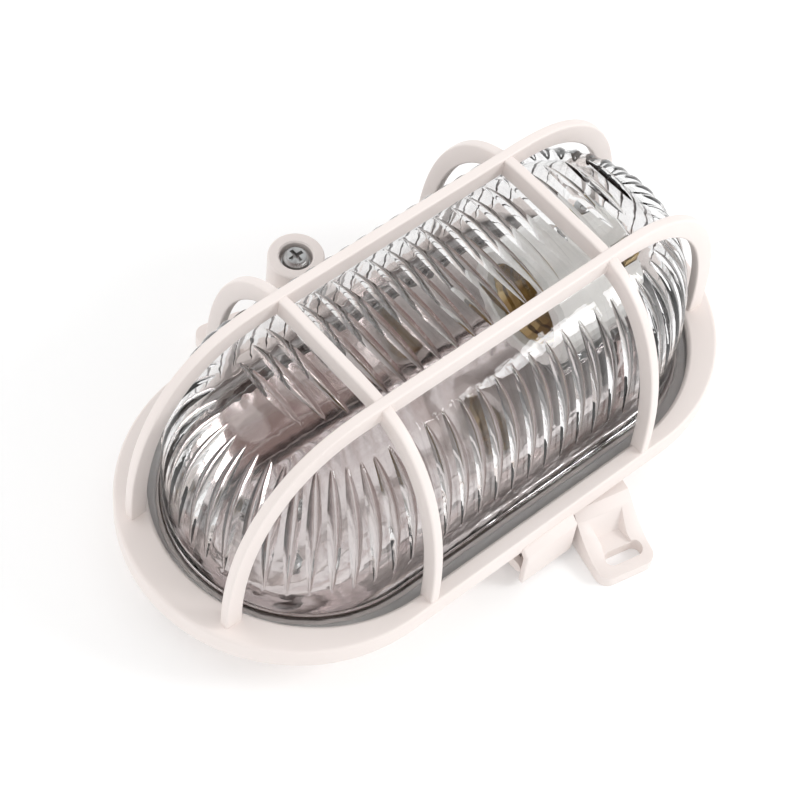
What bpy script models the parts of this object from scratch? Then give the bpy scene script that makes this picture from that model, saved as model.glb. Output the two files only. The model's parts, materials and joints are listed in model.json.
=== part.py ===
"""Oval bulkhead lamp for a wall or a ceiling: a moulded base with two slotted ears, a ribbed
pressed-glass cover held by a moulded cage, a hinge hook on one side of the cage, one captive
screw on the other, and a porcelain E27 lampholder over a sheet reflector.

Metres, +Z up. The origin lies in the mounting face, at the middle of the oval. The lamp's length
runs along X and the hinge side faces -Y."""

import math

import bmesh
import bpy
from mathutils import Matrix, Vector

MM = 0.001

# The oval: every ring is a band round two half circles joined by straight sides
END_CENTRE = 46.5 * MM
ARC_STEPS = 16
FIT = 0.3 * MM
CUT_REACH = 40.0 * MM

# Rim of the cage, from which the rings inside it take their radius
RIM_RADIUS = 54.0 * MM
RIM_END_REACH = 3.5 * MM
RIM_WALL = 2.2 * MM
RIM_WIDTH = 5.2 * MM
RIM_END_INSET = 2.3 * MM
RIM_NOSE = 2.4 * MM
RIM_EDGE = 1.1 * MM
RIM_DISH = 0.9 * MM
RIM_FILLET = 0.5 * MM
SKIRT_LAP = 1.0 * MM
SKIRT_PLAY = 0.9 * MM

# Base tray
SEAT_LEDGE = 6.3 * MM
WALL_DRAFT = 6.6 * MM
FOOT_ROUND = 1.5 * MM
BASE_WALL = 2.2 * MM
BASE_FLOOR = 2.4 * MM
SEAT_HEIGHT = 18.5 * MM
SEAT_THICKNESS = 2.9 * MM
SEAT_CHAMFER = 1.0 * MM

# Gasket in its groove
GASKET_INSET = 4.4 * MM
GASKET_WIDTH = 4.0 * MM
GASKET_HEIGHT = 2.9 * MM
GASKET_EASE = 0.6 * MM
GROOVE_DEPTH = 1.2 * MM

# Glass cover
FLANGE_PLAY = 0.8 * MM
FLANGE_THICKNESS = 2.2 * MM
FLANGE_SHOWN = 5.8 * MM
GLASS_FOOT = 1.2 * MM
GLASS_HEIGHT = 60.5 * MM
GLASS_WALL = 3.0 * MM
GLASS_SQUARENESS = 3.2
GLASS_STEPS = 10

# Ribs on the glass
RIB_PITCH = 6.4 * MM
RIB_HEIGHT = 1.1 * MM
RIB_HALF_WIDTH = 2.3 * MM
RIB_ROOT = 0.7 * MM
RIB_STATIONS = 5
SIDE_RIB_FROM = 0.05
SIDE_RIB_TO = 0.52
TOP_RIB_HALF_LENGTH = 16.0 * MM
TOP_RIBS_PAST_HOOP = 3

# Cage: two hoops across and two bars along
CAGE_HEIGHT = 66.7 * MM
BLADE_THICKNESS = 3.2 * MM
BLADE_DEPTH = 7.0 * MM
BLADE_FOOT_DEPTH = 5.2 * MM
BLADE_SET_IN = 0.5 * MM
BLADE_SINK = 1.4 * MM
BLADE_SQUARENESS = 2.4
BLADE_STEPS = 12
HOOP_PLACE = 42.0 * MM
HOOP_FLAT = 14.0 * MM
BAR_PLACE = 22.5 * MM

# Closing screw, its lug on the cage and its boss on the base
LUG_OUT = 9.5 * MM
LUG_RADIUS = 9.0 * MM
LUG_HEIGHT = 16.0 * MM
LUG_FLOOR = 11.1 * MM
LUG_WEB_HEIGHT = 7.4 * MM
COUNTERBORE_RADIUS = 5.3 * MM
SCREW_RADIUS = 2.0 * MM
SCREW_PLAY = 0.75 * MM
SCREW_HEAD_RADIUS = 4.2 * MM
SCREW_HEAD_HEIGHT = 3.0 * MM
SCREW_REACH = 4.0 * MM
WASHER_RADIUS = 4.6 * MM
WASHER_THICKNESS = 0.8 * MM
BOSS_RADIUS = 7.5 * MM
BOSS_HOLE_DEPTH = 12.0 * MM
BOSS_WEB_DROP = 3.0 * MM

# Hinge: a bar between two cheeks on the base, and a hook on the cage that turns round it behind a
# plate that hides them
HINGE_INSET = 1.5 * MM
HINGE_Z = 6.5 * MM
HINGE_BAR_RADIUS = 1.7 * MM
HOOK_PLAY = 0.6 * MM
HOOK_THICKNESS = 2.0 * MM
HOOK_DROP = 4.0 * MM
HOOK_FROM = -7.5 * MM
HOOK_TO = 12.8 * MM
HOOK_END_GAP = 0.9 * MM
CHEEK_THICKNESS = 2.2 * MM
CHEEK_INSET = 0.8 * MM
CHEEK_ARM_RADIUS = 1.95 * MM
CHEEK_ARM_LENGTH = 4.5 * MM
CHEEK_FOOT = 8.0 * MM
CHEEK_RISE = 4.5 * MM
CHEEK_REACH = 12.0 * MM

# Mounting ears
EAR_PLACE = 25.5 * MM
EAR_TURN = math.radians(-12.0)
EAR_WIDTH = 19.5 * MM
EAR_REACH = 21.0 * MM
EAR_SUNK = 9.0 * MM
EAR_THICKNESS = 4.5 * MM
EAR_CORNER = 4.0 * MM
EAR_WALL_TOP = 14.5 * MM
GUSSET = 2.2 * MM
GUSSET_RUN = 17.0 * MM
GUSSET_CURVE = 1.7
GUSSET_STEPS = 6
POCKET_FOOT = 6.5 * MM
POCKET_HEAD = 1.0 * MM
POCKET_FOOT_WIDTH = 8.0 * MM
HOLLOW_IN = 4.3 * MM
HOLLOW_CREST = 0.6 * MM
HOLLOW_OUT = 3.4 * MM
HOLLOW_STEP = 3.0 * MM
SLOT_PLACE = 14.8 * MM
SLOT_SHIFT = 1.0 * MM
SLOT_LENGTH = 13.0 * MM
SLOT_WIDTH = 5.0 * MM

# Cable entries
ENTRY_HEIGHT = 8.5 * MM
ENTRY_RADIUS = 4.2 * MM
ENTRY_SET_IN = 0.4 * MM
ENTRY_PAD_DEPTH = 4.0 * MM
ENTRY_PAD_RIM = 0.8 * MM
ENTRY_SEGMENTS = 24
GROMMET_LIP = 1.2 * MM
GROMMET_NOSE = 3.4 * MM

# Reflector
REFLECTOR_HEIGHT = 8.0 * MM
REFLECTOR_FLAT = 17.0 * MM
REFLECTOR_END_REACH = 11.0 * MM
REFLECTOR_BEND_REACH = 5.0 * MM
REFLECTOR_BEND = 18.4 * MM
REFLECTOR_SLOPE = math.radians(33.0)
REFLECTOR_BEND_STEPS = 5
REFLECTOR_PLAY = 0.5 * MM
REFLECTOR_SHEET = 0.8 * MM
REFLECTOR_SCREW_OUT = 13.5 * MM
REFLECTOR_SCREW_Y = 11.0 * MM
WIRE_HOLE_RADIUS = 5.0 * MM
WIRE_HOLE_OUT = 16.5 * MM
WIRE_HOLE_Y = 19.5 * MM

# Lampholder, with its axis along X
LAMP_AXIS = 45.0 * MM
HOLDER_OUT = 26.0 * MM
HOLDER_LENGTH = 37.7 * MM
HOLDER_RADIUS = 21.0 * MM
HOLDER_BACK_RADIUS = 17.5 * MM
HOLDER_BACK_LENGTH = 12.0 * MM
HOLDER_EASE = 1.5 * MM
HOLDER_BORE = 15.0 * MM
HOLDER_BORE_DEPTH = 26.0 * MM
SHELL_RADIUS = 14.2 * MM
SHELL_SHEET = 0.5 * MM
SHELL_WAVE = 0.7 * MM
SHELL_PITCH = 3.63 * MM
SHELL_TURNS = 6
SHELL_STANDOFF = 1.5 * MM

# Bracket that carries the lampholder
BRACKET_SHEET = 1.5 * MM
BRACKET_BEND = 2.0 * MM
BRACKET_WIDTH = 22.0 * MM
BRACKET_FOOT = 27.0 * MM
BRACKET_TOP = 58.0 * MM
BRACKET_SCREW_IN = 15.5 * MM
BRACKET_SCREW_Y = 7.0 * MM
HOLDER_SCREW_RISE = 9.5 * MM
SMALL_SCREW_RADIUS = 1.5 * MM
SMALL_HEAD_RADIUS = 2.9 * MM
SMALL_HEAD_HEIGHT = 1.9 * MM
SMALL_SCREW_LENGTH = 7.0 * MM
POST_RADIUS = 3.6 * MM
POST_SINK = 0.5 * MM

# Terminals
TERMINAL_Y = 10.0 * MM
TERMINAL_SIZE = 6.0 * MM
TERMINAL_SINK = 7.0 * MM
TERMINAL_SET_IN = 1.5 * MM
TERMINAL_SCREW_RADIUS = 1.4 * MM
TERMINAL_SCREW_LENGTH = 3.0 * MM
TERMINAL_WIRE_RADIUS = 1.3 * MM

# Contacts, as strips of sheet
CONTACT_SHEET = 0.5 * MM
CONTACT_WIDTH = 5.0 * MM
CONTACT_ROOT = 8.0 * MM
CONTACT_SPRING = 3.2 * MM
SIDE_CONTACT_LENGTH = 5.4 * MM

# Radii that follow from the rim
skirt_inner = RIM_RADIUS - RIM_WALL
rim_inner = RIM_RADIUS - RIM_WIDTH
seat_radius = skirt_inner - SKIRT_PLAY
flange_radius = skirt_inner - FLANGE_PLAY
base_wall_radius = seat_radius - SEAT_LEDGE
base_foot_radius = base_wall_radius - WALL_DRAFT
gasket_radius = seat_radius - GASKET_INSET
glass_radius = rim_inner - FLANGE_SHOWN
reflector_edge = glass_radius - GLASS_WALL - REFLECTOR_PLAY
entry_pad_out = base_wall_radius - ENTRY_SET_IN
entry_pad_in = entry_pad_out - ENTRY_PAD_DEPTH
hinge_y = HINGE_INSET - RIM_RADIUS
lug_place = RIM_RADIUS + LUG_OUT

# Places along the lamp that follow from the ends of the oval
holder_back = END_CENTRE + HOLDER_OUT
bracket_screw_x = holder_back - BRACKET_SCREW_IN
reflector_screw_x = -END_CENTRE - REFLECTOR_SCREW_OUT
wire_hole_x = END_CENTRE + WIRE_HOLE_OUT

# Heights that follow from the stack of seat, gasket, glass and cage
groove_floor = SEAT_HEIGHT - GROOVE_DEPTH
gasket_bottom = groove_floor + FIT
flange_bottom = gasket_bottom + GASKET_HEIGHT + FIT
flange_top = flange_bottom + FLANGE_THICKNESS
rim_underside = flange_top + FIT
rim_top = rim_underside + RIM_NOSE
rim_bottom = SEAT_HEIGHT - SKIRT_LAP
cage_top = rim_top + CAGE_HEIGHT
lug_top = rim_bottom + LUG_HEIGHT
counterbore_floor = rim_bottom + LUG_FLOOR
boss_top = rim_bottom - FIT


def clear_scene():
    for obj in list(bpy.data.objects):
        bpy.data.objects.remove(obj, do_unlink=True)


def make_collection(name):
    collection = bpy.data.collections.new(name)
    bpy.context.scene.collection.children.link(collection)
    return collection


clear_scene()
LAMP = make_collection("bulkhead_lamp")
CUTTERS = make_collection("cutters")


def material(name, colour, roughness, metallic=0.0, transmission=0.0):
    found = bpy.data.materials.get(name)
    if found:
        return found
    made = bpy.data.materials.new(name)
    made.use_nodes = True
    shader = made.node_tree.nodes["Principled BSDF"]
    shader.inputs["Base Color"].default_value = (*colour, 1.0)
    shader.inputs["Roughness"].default_value = roughness
    shader.inputs["Metallic"].default_value = metallic
    shader.inputs["Transmission Weight"].default_value = transmission
    return made


def white_plastic():
    return material("white_plastic", (0.86, 0.82, 0.81), 0.35)


def clear_glass():
    return material("clear_glass", (0.97, 0.98, 0.98), 0.03, transmission=1.0)


def aluminium_sheet():
    return material("aluminium_sheet", (0.80, 0.80, 0.81), 0.25, metallic=1.0)


def porcelain():
    return material("porcelain", (0.88, 0.87, 0.84), 0.15)


def brass():
    return material("brass", (0.76, 0.60, 0.30), 0.3, metallic=1.0)


def zinc_steel():
    return material("zinc_steel", (0.62, 0.62, 0.60), 0.35, metallic=1.0)


def dark_rubber():
    return material("dark_rubber", (0.05, 0.05, 0.05), 0.7)


def grey_rubber():
    return material("grey_rubber", (0.30, 0.30, 0.30), 0.7)


def object_from(bm, name, finish=None):
    """A new object from a bmesh, with its faces turned outwards."""
    bmesh.ops.recalc_face_normals(bm, faces=bm.faces)
    mesh = bpy.data.meshes.new(name)
    bm.to_mesh(mesh)
    bm.free()
    made = bpy.data.objects.new(name, mesh)
    LAMP.objects.link(made)
    if finish:
        mesh.materials.append(finish)
    return made


def boolean(target, tool, operation):
    """Join or cut with an EXACT Boolean, baked at once, and drop the tool."""
    step = target.modifiers.new(operation.lower(), "BOOLEAN")
    step.operation = operation
    step.object = tool
    graph = bpy.context.evaluated_depsgraph_get()
    baked = bpy.data.meshes.new_from_object(target.evaluated_get(graph))
    target.modifiers.clear()
    old = target.data
    target.data = baked
    bpy.data.meshes.remove(old)
    bpy.data.objects.remove(tool, do_unlink=True)
    return target


def join(target, *tools):
    for tool in tools:
        boolean(target, tool, "UNION")
    return target


def cut(target, *tools):
    for tool in tools:
        boolean(target, tool, "DIFFERENCE")
    return target


def shade(obj, degrees=35.0):
    obj.data.shade_smooth()
    obj.data.set_sharp_from_angle(angle=math.radians(degrees))
    return obj


def reach_out(bm, profile):
    """Moves the ring of each profile point that has a reach out along X at both ends."""
    for vert in bm.verts:
        radius = math.hypot(abs(vert.co.x) - END_CENTRE, vert.co.y)
        height = vert.co.z
        own = min(profile, key=lambda point: abs(point[0] - radius) + abs(point[1] - height))
        if len(own) > 2:
            vert.co.x += math.copysign(own[2], vert.co.x)


def oval_sweep(name, profile, closed, finish=None):
    """Carry a profile of (radius, height) or (radius, height, reach) round the oval. An open profile
    starts and ends on the oval's spine, where the radius is zero. A reach lengthens that ring."""
    bm = bmesh.new()
    verts = [bm.verts.new((END_CENTRE, -point[0], point[1])) for point in profile]
    pairs = list(zip(verts, verts[1:]))
    if closed:
        pairs.append((verts[-1], verts[0]))
    edges = [bm.edges.new(pair) for pair in pairs]
    for side in (1, -1):
        turn = bmesh.ops.spin(
            bm,
            geom=edges + list({vert for edge in edges for vert in edge.verts}),
            cent=(side * END_CENTRE, 0, 0),
            axis=(0, 0, 1),
            angle=math.pi,
            steps=ARC_STEPS,
        )
        edges = [item for item in turn["geom_last"] if isinstance(item, bmesh.types.BMEdge)]
        run = bmesh.ops.extrude_edge_only(bm, edges=edges)
        moved = [item for item in run["geom"] if isinstance(item, bmesh.types.BMVert)]
        bmesh.ops.translate(bm, verts=moved, vec=(-side * 2 * END_CENTRE, 0, 0))
        edges = [item for item in run["geom"] if isinstance(item, bmesh.types.BMEdge)]
    bmesh.ops.remove_doubles(bm, verts=bm.verts, dist=0.001 * MM)
    reach_out(bm, profile)
    return object_from(bm, name, finish)


def prism(name, outline, thickness, placement, finish=None):
    """A flat outline given in its own plane, extruded to both sides of it by half the thickness."""
    curve = bpy.data.curves.new(name, "CURVE")
    curve.dimensions = "2D"
    curve.fill_mode = "BOTH"
    curve.extrude = thickness / 2
    spline = curve.splines.new("POLY")
    spline.points.add(len(outline) - 1)
    for point, (u, v) in zip(spline.points, outline):
        point.co = (u, v, 0, 1)
    spline.use_cyclic_u = True
    drawn = bpy.data.objects.new(name, curve)
    LAMP.objects.link(drawn)
    graph = bpy.context.evaluated_depsgraph_get()
    mesh = bpy.data.meshes.new_from_object(drawn.evaluated_get(graph))
    bpy.data.objects.remove(drawn, do_unlink=True)
    bpy.data.curves.remove(curve)
    bm = bmesh.new()
    bm.from_mesh(mesh)
    bpy.data.meshes.remove(mesh)
    bmesh.ops.remove_doubles(bm, verts=bm.verts, dist=0.001 * MM)
    bmesh.ops.transform(bm, matrix=placement, verts=bm.verts)
    return object_from(bm, name, finish)


# Placements that stand a drawn outline up: (u, v) becomes (y, z) or (x, z)
ACROSS = Matrix(((0, 0, 1, 0), (1, 0, 0, 0), (0, 1, 0, 0), (0, 0, 0, 1)))
ALONG = Matrix(((1, 0, 0, 0), (0, 0, -1, 0), (0, 1, 0, 0), (0, 0, 0, 1)))


def box(name, low, high, finish=None):
    bm = bmesh.new()
    bmesh.ops.create_cube(bm, size=1.0)
    size = Vector(high) - Vector(low)
    middle = (Vector(high) + Vector(low)) / 2
    bmesh.ops.scale(bm, vec=size, verts=bm.verts)
    bmesh.ops.translate(bm, vec=middle, verts=bm.verts)
    return object_from(bm, name, finish)


def cylinder(name, radius, start, end, segments=32, end_radius=None, finish=None):
    """A cylinder or cone from one point to another."""
    start, end = Vector(start), Vector(end)
    bm = bmesh.new()
    bmesh.ops.create_cone(
        bm,
        cap_ends=True,
        segments=segments,
        radius1=radius,
        radius2=radius if end_radius is None else end_radius,
        depth=(end - start).length,
    )
    turn = Vector((0, 0, 1)).rotation_difference(end - start).to_matrix().to_4x4()
    bmesh.ops.transform(bm, matrix=Matrix.Translation((start + end) / 2) @ turn, verts=bm.verts)
    return object_from(bm, name, finish)


def turned(name, profile, axis_point, axis, segments=32, finish=None):
    """A profile of (distance along the axis, radius), closed, turned once round the axis."""
    bm = bmesh.new()
    verts = [bm.verts.new((radius, 0, run)) for run, radius in profile]
    edges = [bm.edges.new(pair) for pair in zip(verts, verts[1:] + verts[:1])]
    bmesh.ops.spin(
        bm,
        geom=verts + edges,
        cent=(0, 0, 0),
        axis=(0, 0, 1),
        angle=2 * math.pi,
        steps=segments,
    )
    bmesh.ops.remove_doubles(bm, verts=bm.verts, dist=0.001 * MM)
    bmesh.ops.dissolve_degenerate(bm, edges=bm.edges, dist=0.0001 * MM)
    inner = [face for face in bm.faces if all(vert.co.xy.length < 1e-7 for vert in face.verts)]
    bmesh.ops.delete(bm, geom=inner, context="FACES")
    loose = [edge for edge in bm.edges if not edge.link_faces]
    bmesh.ops.delete(bm, geom=loose, context="EDGES")
    turn = Vector((0, 0, 1)).rotation_difference(Vector(axis)).to_matrix().to_4x4()
    bmesh.ops.transform(bm, matrix=Matrix.Translation(axis_point) @ turn, verts=bm.verts)
    return object_from(bm, name, finish)


def arc(centre, radius, start, end, steps):
    """Points on a circle from one angle to another, in degrees."""
    points = []
    for step in range(steps + 1):
        angle = math.radians(start + (end - start) * step / steps)
        points.append((centre[0] + radius * math.cos(angle), centre[1] + radius * math.sin(angle)))
    return points


def shoulder(flat, semi, base, height, squareness, steps):
    """A rounded shoulder, from its foot at flat + semi up to its flat top: a quarter of a
    superellipse."""
    points = []
    for step in range(steps + 1):
        angle = math.pi / 2 * step / steps
        run = math.cos(angle) ** (2 / squareness)
        rise = math.sin(angle) ** (2 / squareness)
        points.append((flat + semi * run, base + height * rise))
    return points


def base_shell():
    """The tray: floor, drafted wall and the grooved seat for the gasket."""
    wall_top = SEAT_HEIGHT - SEAT_THICKNESS
    groove_in = gasket_radius - GASKET_WIDTH / 2 - FIT
    groove_out = gasket_radius + GASKET_WIDTH / 2 + FIT
    inner_top = base_wall_radius - BASE_WALL
    profile = [
        (0, 0),
        (base_foot_radius, 0),
        (base_foot_radius + FOOT_ROUND, 0.8 * FOOT_ROUND),
        (base_wall_radius, wall_top - SEAT_CHAMFER),
        (seat_radius - SEAT_CHAMFER, wall_top, RIM_END_REACH),
        (seat_radius, wall_top + 0.8 * SEAT_CHAMFER, RIM_END_REACH),
        (seat_radius, SEAT_HEIGHT, RIM_END_REACH),
        (groove_out, SEAT_HEIGHT),
        (groove_out, groove_floor),
        (groove_in, groove_floor),
        (groove_in, SEAT_HEIGHT),
        (inner_top, SEAT_HEIGHT),
        (inner_top, wall_top),
        (base_foot_radius + FOOT_ROUND - BASE_WALL, BASE_FLOOR),
        (0, BASE_FLOOR),
    ]
    return oval_sweep("base_tray", profile, False, white_plastic())


def half_turn(obj_matrix):
    return Matrix.Rotation(math.pi, 4, "Z") @ obj_matrix


def ear_frame(side):
    """Places an ear drawn with u across it and its outward run along -Y."""
    place = Matrix.Translation((EAR_PLACE, -RIM_RADIUS, 0)) @ Matrix.Rotation(EAR_TURN, 4, "Z")
    return place if side > 0 else half_turn(place)


def ear_section():
    """The ear from the side, as (run, height): plate, hollow gusset edge and root. Outward is
    negative."""
    rise = EAR_WALL_TOP - EAR_THICKNESS
    points = [(EAR_SUNK, 0), (-EAR_REACH, 0), (-EAR_REACH, EAR_THICKNESS)]
    for step in range(GUSSET_STEPS + 1):
        share = step / GUSSET_STEPS
        points.append((-GUSSET_RUN * (1 - share), EAR_THICKNESS + rise * share**GUSSET_CURVE))
    points.append((EAR_SUNK, EAR_WALL_TOP))
    return points


def ear_pocket(place):
    """Cutter for the screw's pocket: wide at its head by the rim, narrow at its foot on the plate."""
    half = EAR_WIDTH / 2 - GUSSET
    over = EAR_WALL_TOP + GUSSET
    bm = bmesh.new()
    bmesh.ops.create_cube(bm, size=1.0)
    for vert in bm.verts:
        side = math.copysign(1, vert.co.x)
        head = vert.co.z > 0
        if vert.co.y < 0:
            vert.co = (side * half, -EAR_REACH - POCKET_FOOT, over if head else EAR_THICKNESS)
        elif head:
            vert.co = (side * half, -POCKET_HEAD, over)
        else:
            vert.co = (side * POCKET_FOOT_WIDTH / 2, -POCKET_FOOT, EAR_THICKNESS)
    bmesh.ops.triangulate(bm, faces=bm.faces)
    bmesh.ops.transform(bm, matrix=place, verts=bm.verts)
    return object_from(bm, "pocket")


def ear_hollow(place):
    """Cutter that keeps the ear's root to an even wall from below."""
    crest = EAR_WALL_TOP - GUSSET
    under = [
        (HOLLOW_IN, -GUSSET),
        (HOLLOW_IN, crest),
        (HOLLOW_CREST, crest),
        (-HOLLOW_OUT, HOLLOW_STEP),
        (-HOLLOW_OUT, -GUSSET),
    ]
    return prism("hollow", under, POCKET_FOOT_WIDTH, place @ ACROSS)


def ear_corner(place, end):
    """Cutter that rounds one outer corner of the plate."""
    far = EAR_WIDTH / 2
    past = EAR_CORNER
    outline = arc((far - EAR_CORNER, EAR_CORNER - EAR_REACH), EAR_CORNER, 270, 360, 6)
    outline += [
        (far + past, EAR_CORNER - EAR_REACH),
        (far + past, -EAR_REACH - past),
        (far - EAR_CORNER, -EAR_REACH - past),
    ]
    return prism("corner", [(end * u, v) for u, v in outline], CUT_REACH, place)


def slot_cutter(place):
    half = (SLOT_LENGTH - SLOT_WIDTH) / 2
    outline = arc((SLOT_SHIFT + half, -SLOT_PLACE), SLOT_WIDTH / 2, -90, 90, 8)
    outline += arc((SLOT_SHIFT - half, -SLOT_PLACE), SLOT_WIDTH / 2, 90, 270, 8)
    return prism("slot", outline, 4 * EAR_THICKNESS, place)


def ear(side):
    place = ear_frame(side)
    body = prism("ear", ear_section(), EAR_WIDTH, place @ ACROSS)
    cut(body, ear_pocket(place), ear_hollow(place), slot_cutter(place))
    for end in (1, -1):
        cut(body, ear_corner(place, end))
    return body


def hinge_cheek(low, high):
    """One cheek of the hinge: a gusset on the tray's wall that narrows to an arm round the bar."""
    outline = [
        (hinge_y + CHEEK_FOOT, 0),
        (hinge_y + CHEEK_REACH, 0),
        (hinge_y + CHEEK_REACH, HINGE_Z + CHEEK_RISE),
    ]
    outline += arc((hinge_y, HINGE_Z), CHEEK_ARM_RADIUS, 90, 270, 8)
    outline.append((hinge_y + CHEEK_ARM_LENGTH, HINGE_Z - CHEEK_ARM_RADIUS))
    middle = Matrix.Translation(((low + high) / 2, 0, 0))
    return prism("cheek", outline, high - low, middle @ ACROSS)


def cheek_faces():
    """The two inner faces of the cheeks, left and right."""
    inset = CHEEK_INSET + CHEEK_THICKNESS
    return HOOK_FROM + inset, HOOK_TO - inset


def hinge_on_base():
    left, right = cheek_faces()
    bar = cylinder(
        "hinge_bar",
        HINGE_BAR_RADIUS,
        (left - CHEEK_THICKNESS / 2, hinge_y, HINGE_Z),
        (right + CHEEK_THICKNESS / 2, hinge_y, HINGE_Z),
        16,
    )
    return [
        hinge_cheek(left - CHEEK_THICKNESS, left),
        hinge_cheek(right, right + CHEEK_THICKNESS),
        bar,
    ]


def screw_boss():
    """The boss that takes the closing screw, tied to the tray's wall by a web."""
    boss = cylinder("boss", BOSS_RADIUS, (0, lug_place, 0), (0, lug_place, boss_top))
    web_side = 0.8 * BOSS_RADIUS
    low = (-web_side, base_wall_radius - BOSS_WEB_DROP, 0)
    high = (web_side, lug_place, rim_bottom - BOSS_WEB_DROP)
    return join(boss, box("web", low, high))


def screw_post(x, y):
    low = (x, y, BASE_FLOOR - POST_SINK)
    return cylinder("post", POST_RADIUS, low, (x, y, REFLECTOR_HEIGHT - FIT), 20)


def post_places():
    return [
        (reflector_screw_x, -REFLECTOR_SCREW_Y),
        (reflector_screw_x, REFLECTOR_SCREW_Y),
        (bracket_screw_x, -BRACKET_SCREW_Y),
        (bracket_screw_x, BRACKET_SCREW_Y),
    ]


def cable_entry(tray, end):
    """A flat-faced pad in the end wall, with the hole for the grommet through it."""
    def rod(radius, start, stop):
        ends = [(end * (END_CENTRE + run), 0, ENTRY_HEIGHT) for run in (start, stop)]
        return cylinder("entry", radius, *ends, ENTRY_SEGMENTS)

    face = ENTRY_RADIUS + GROMMET_LIP + FIT
    past = ENTRY_PAD_DEPTH
    join(tray, rod(face + ENTRY_PAD_RIM, entry_pad_in, entry_pad_out))
    cut(tray, rod(face, entry_pad_in - 2 * past, entry_pad_in))
    cut(tray, rod(face, entry_pad_out, entry_pad_out + 2 * past))
    cut(tray, rod(ENTRY_RADIUS, entry_pad_in - past, entry_pad_out + past))


def base_tray():
    tray = base_shell()
    join(tray, ear(1), ear(-1), screw_boss(), *hinge_on_base())
    for x, y in post_places():
        join(tray, screw_post(x, y))
        low = (x, y, BASE_FLOOR - POST_SINK)
        cut(tray, cylinder("hole", SMALL_SCREW_RADIUS + FIT, low, (x, y, CUT_REACH), 16))
    screw_hole = cylinder(
        "screw_hole",
        SCREW_RADIUS + SCREW_PLAY,
        (0, lug_place, boss_top - BOSS_HOLE_DEPTH),
        (0, lug_place, boss_top + BOSS_HOLE_DEPTH),
        20,
    )
    cut(tray, screw_hole)
    for end in (1, -1):
        cable_entry(tray, end)
    return shade(tray)


def gasket():
    half = GASKET_WIDTH / 2
    top = gasket_bottom + GASKET_HEIGHT
    profile = [
        (gasket_radius - half, gasket_bottom),
        (gasket_radius + half, gasket_bottom),
        (gasket_radius + half, top - GASKET_EASE),
        (gasket_radius + half - GASKET_EASE, top),
        (gasket_radius - half + GASKET_EASE, top),
        (gasket_radius - half, top - GASKET_EASE),
    ]
    return shade(oval_sweep("gasket", profile, True, dark_rubber()))


def glass_profile(inset):
    """The glass cover's section from the flange up to the spine, moved in by inset."""
    radius = glass_radius - inset
    height = GLASS_HEIGHT - inset
    return shoulder(0, radius, flange_top, height, GLASS_SQUARENESS, GLASS_STEPS)


def glass_shell():
    inner = glass_profile(GLASS_WALL)
    flange = [
        (glass_radius - GLASS_WALL, flange_bottom),
        (flange_radius, flange_bottom, RIM_END_REACH),
        (flange_radius, flange_top, RIM_END_REACH),
        (glass_radius + GLASS_FOOT, flange_top),
        (glass_radius, flange_top + GLASS_FOOT),
    ]
    profile = inner[::-1] + flange + glass_profile(0)[1:]
    return oval_sweep("glass_cover", profile, False, clear_glass())


def glass_point(share, spot, direction):
    """A point on the glass's outer face and its outward normal. Share runs from 0 at the flange to 1
    at the spine, and direction points out from the spine at spot."""
    def at(value):
        angle = math.pi / 2 * min(max(value, 0.0), 1.0)
        radius = glass_radius * math.cos(angle) ** (2 / GLASS_SQUARENESS)
        height = flange_top + GLASS_HEIGHT * math.sin(angle) ** (2 / GLASS_SQUARENESS)
        return spot + direction * radius + Vector((0, 0, height))
    point = at(share)
    slope = (at(share + 0.01) - at(share - 0.01)).normalized()
    side = Vector((0, 0, 1)).cross(direction)
    return point, slope.cross(side).normalized() * -1.0, side


def add_rib(bm, stations):
    """A spindle with a sharp ridge and pointed ends, lofted along its stations of centre, normal and
    side direction."""
    rings = []
    last = len(stations) - 1
    for step, (centre, normal, side) in enumerate(stations):
        share = step / last
        swell = math.sin(math.pi * share) ** 0.75
        if step in (0, last):
            rings.append([bm.verts.new(centre - normal * RIB_ROOT)])
            continue
        ridge = centre + normal * (RIB_HEIGHT * swell)
        root = centre - normal * RIB_ROOT
        reach = side * (RIB_HALF_WIDTH * swell)
        rings.append([bm.verts.new(ridge), bm.verts.new(root - reach), bm.verts.new(root + reach)])
    for first, second in zip(rings, rings[1:]):
        if len(first) == 1 or len(second) == 1:
            tip, ring = (first[0], second) if len(first) == 1 else (second[0], first)
            for a, b in zip(ring, ring[1:] + ring[:1]):
                bm.faces.new((tip, a, b))
            continue
        for step in range(3):
            following = (step + 1) % 3
            bm.faces.new((first[step], first[following], second[following], second[step]))


def side_rib_places():
    """Spot on the spine and outward direction of each rib round the side, one pitch apart."""
    places = []
    straight = int(END_CENTRE / RIB_PITCH)
    for step in range(-straight, straight + 1):
        for facing in (1, -1):
            places.append((Vector((step * RIB_PITCH, 0, 0)), Vector((0, facing, 0))))
    round_count = int(math.pi * glass_radius / RIB_PITCH)
    for end in (1, -1):
        for step in range(round_count):
            angle = math.pi * (step + 0.5) / round_count - math.pi / 2
            spot = Vector((end * END_CENTRE, 0, 0))
            places.append((spot, Vector((end * math.cos(angle), math.sin(angle), 0))))
    return places


def side_ribs(bm):
    for spot, direction in side_rib_places():
        stations = []
        for step in range(RIB_STATIONS):
            share = SIDE_RIB_FROM + (SIDE_RIB_TO - SIDE_RIB_FROM) * step / (RIB_STATIONS - 1)
            stations.append(glass_point(share, spot, direction))
        add_rib(bm, stations)


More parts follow.
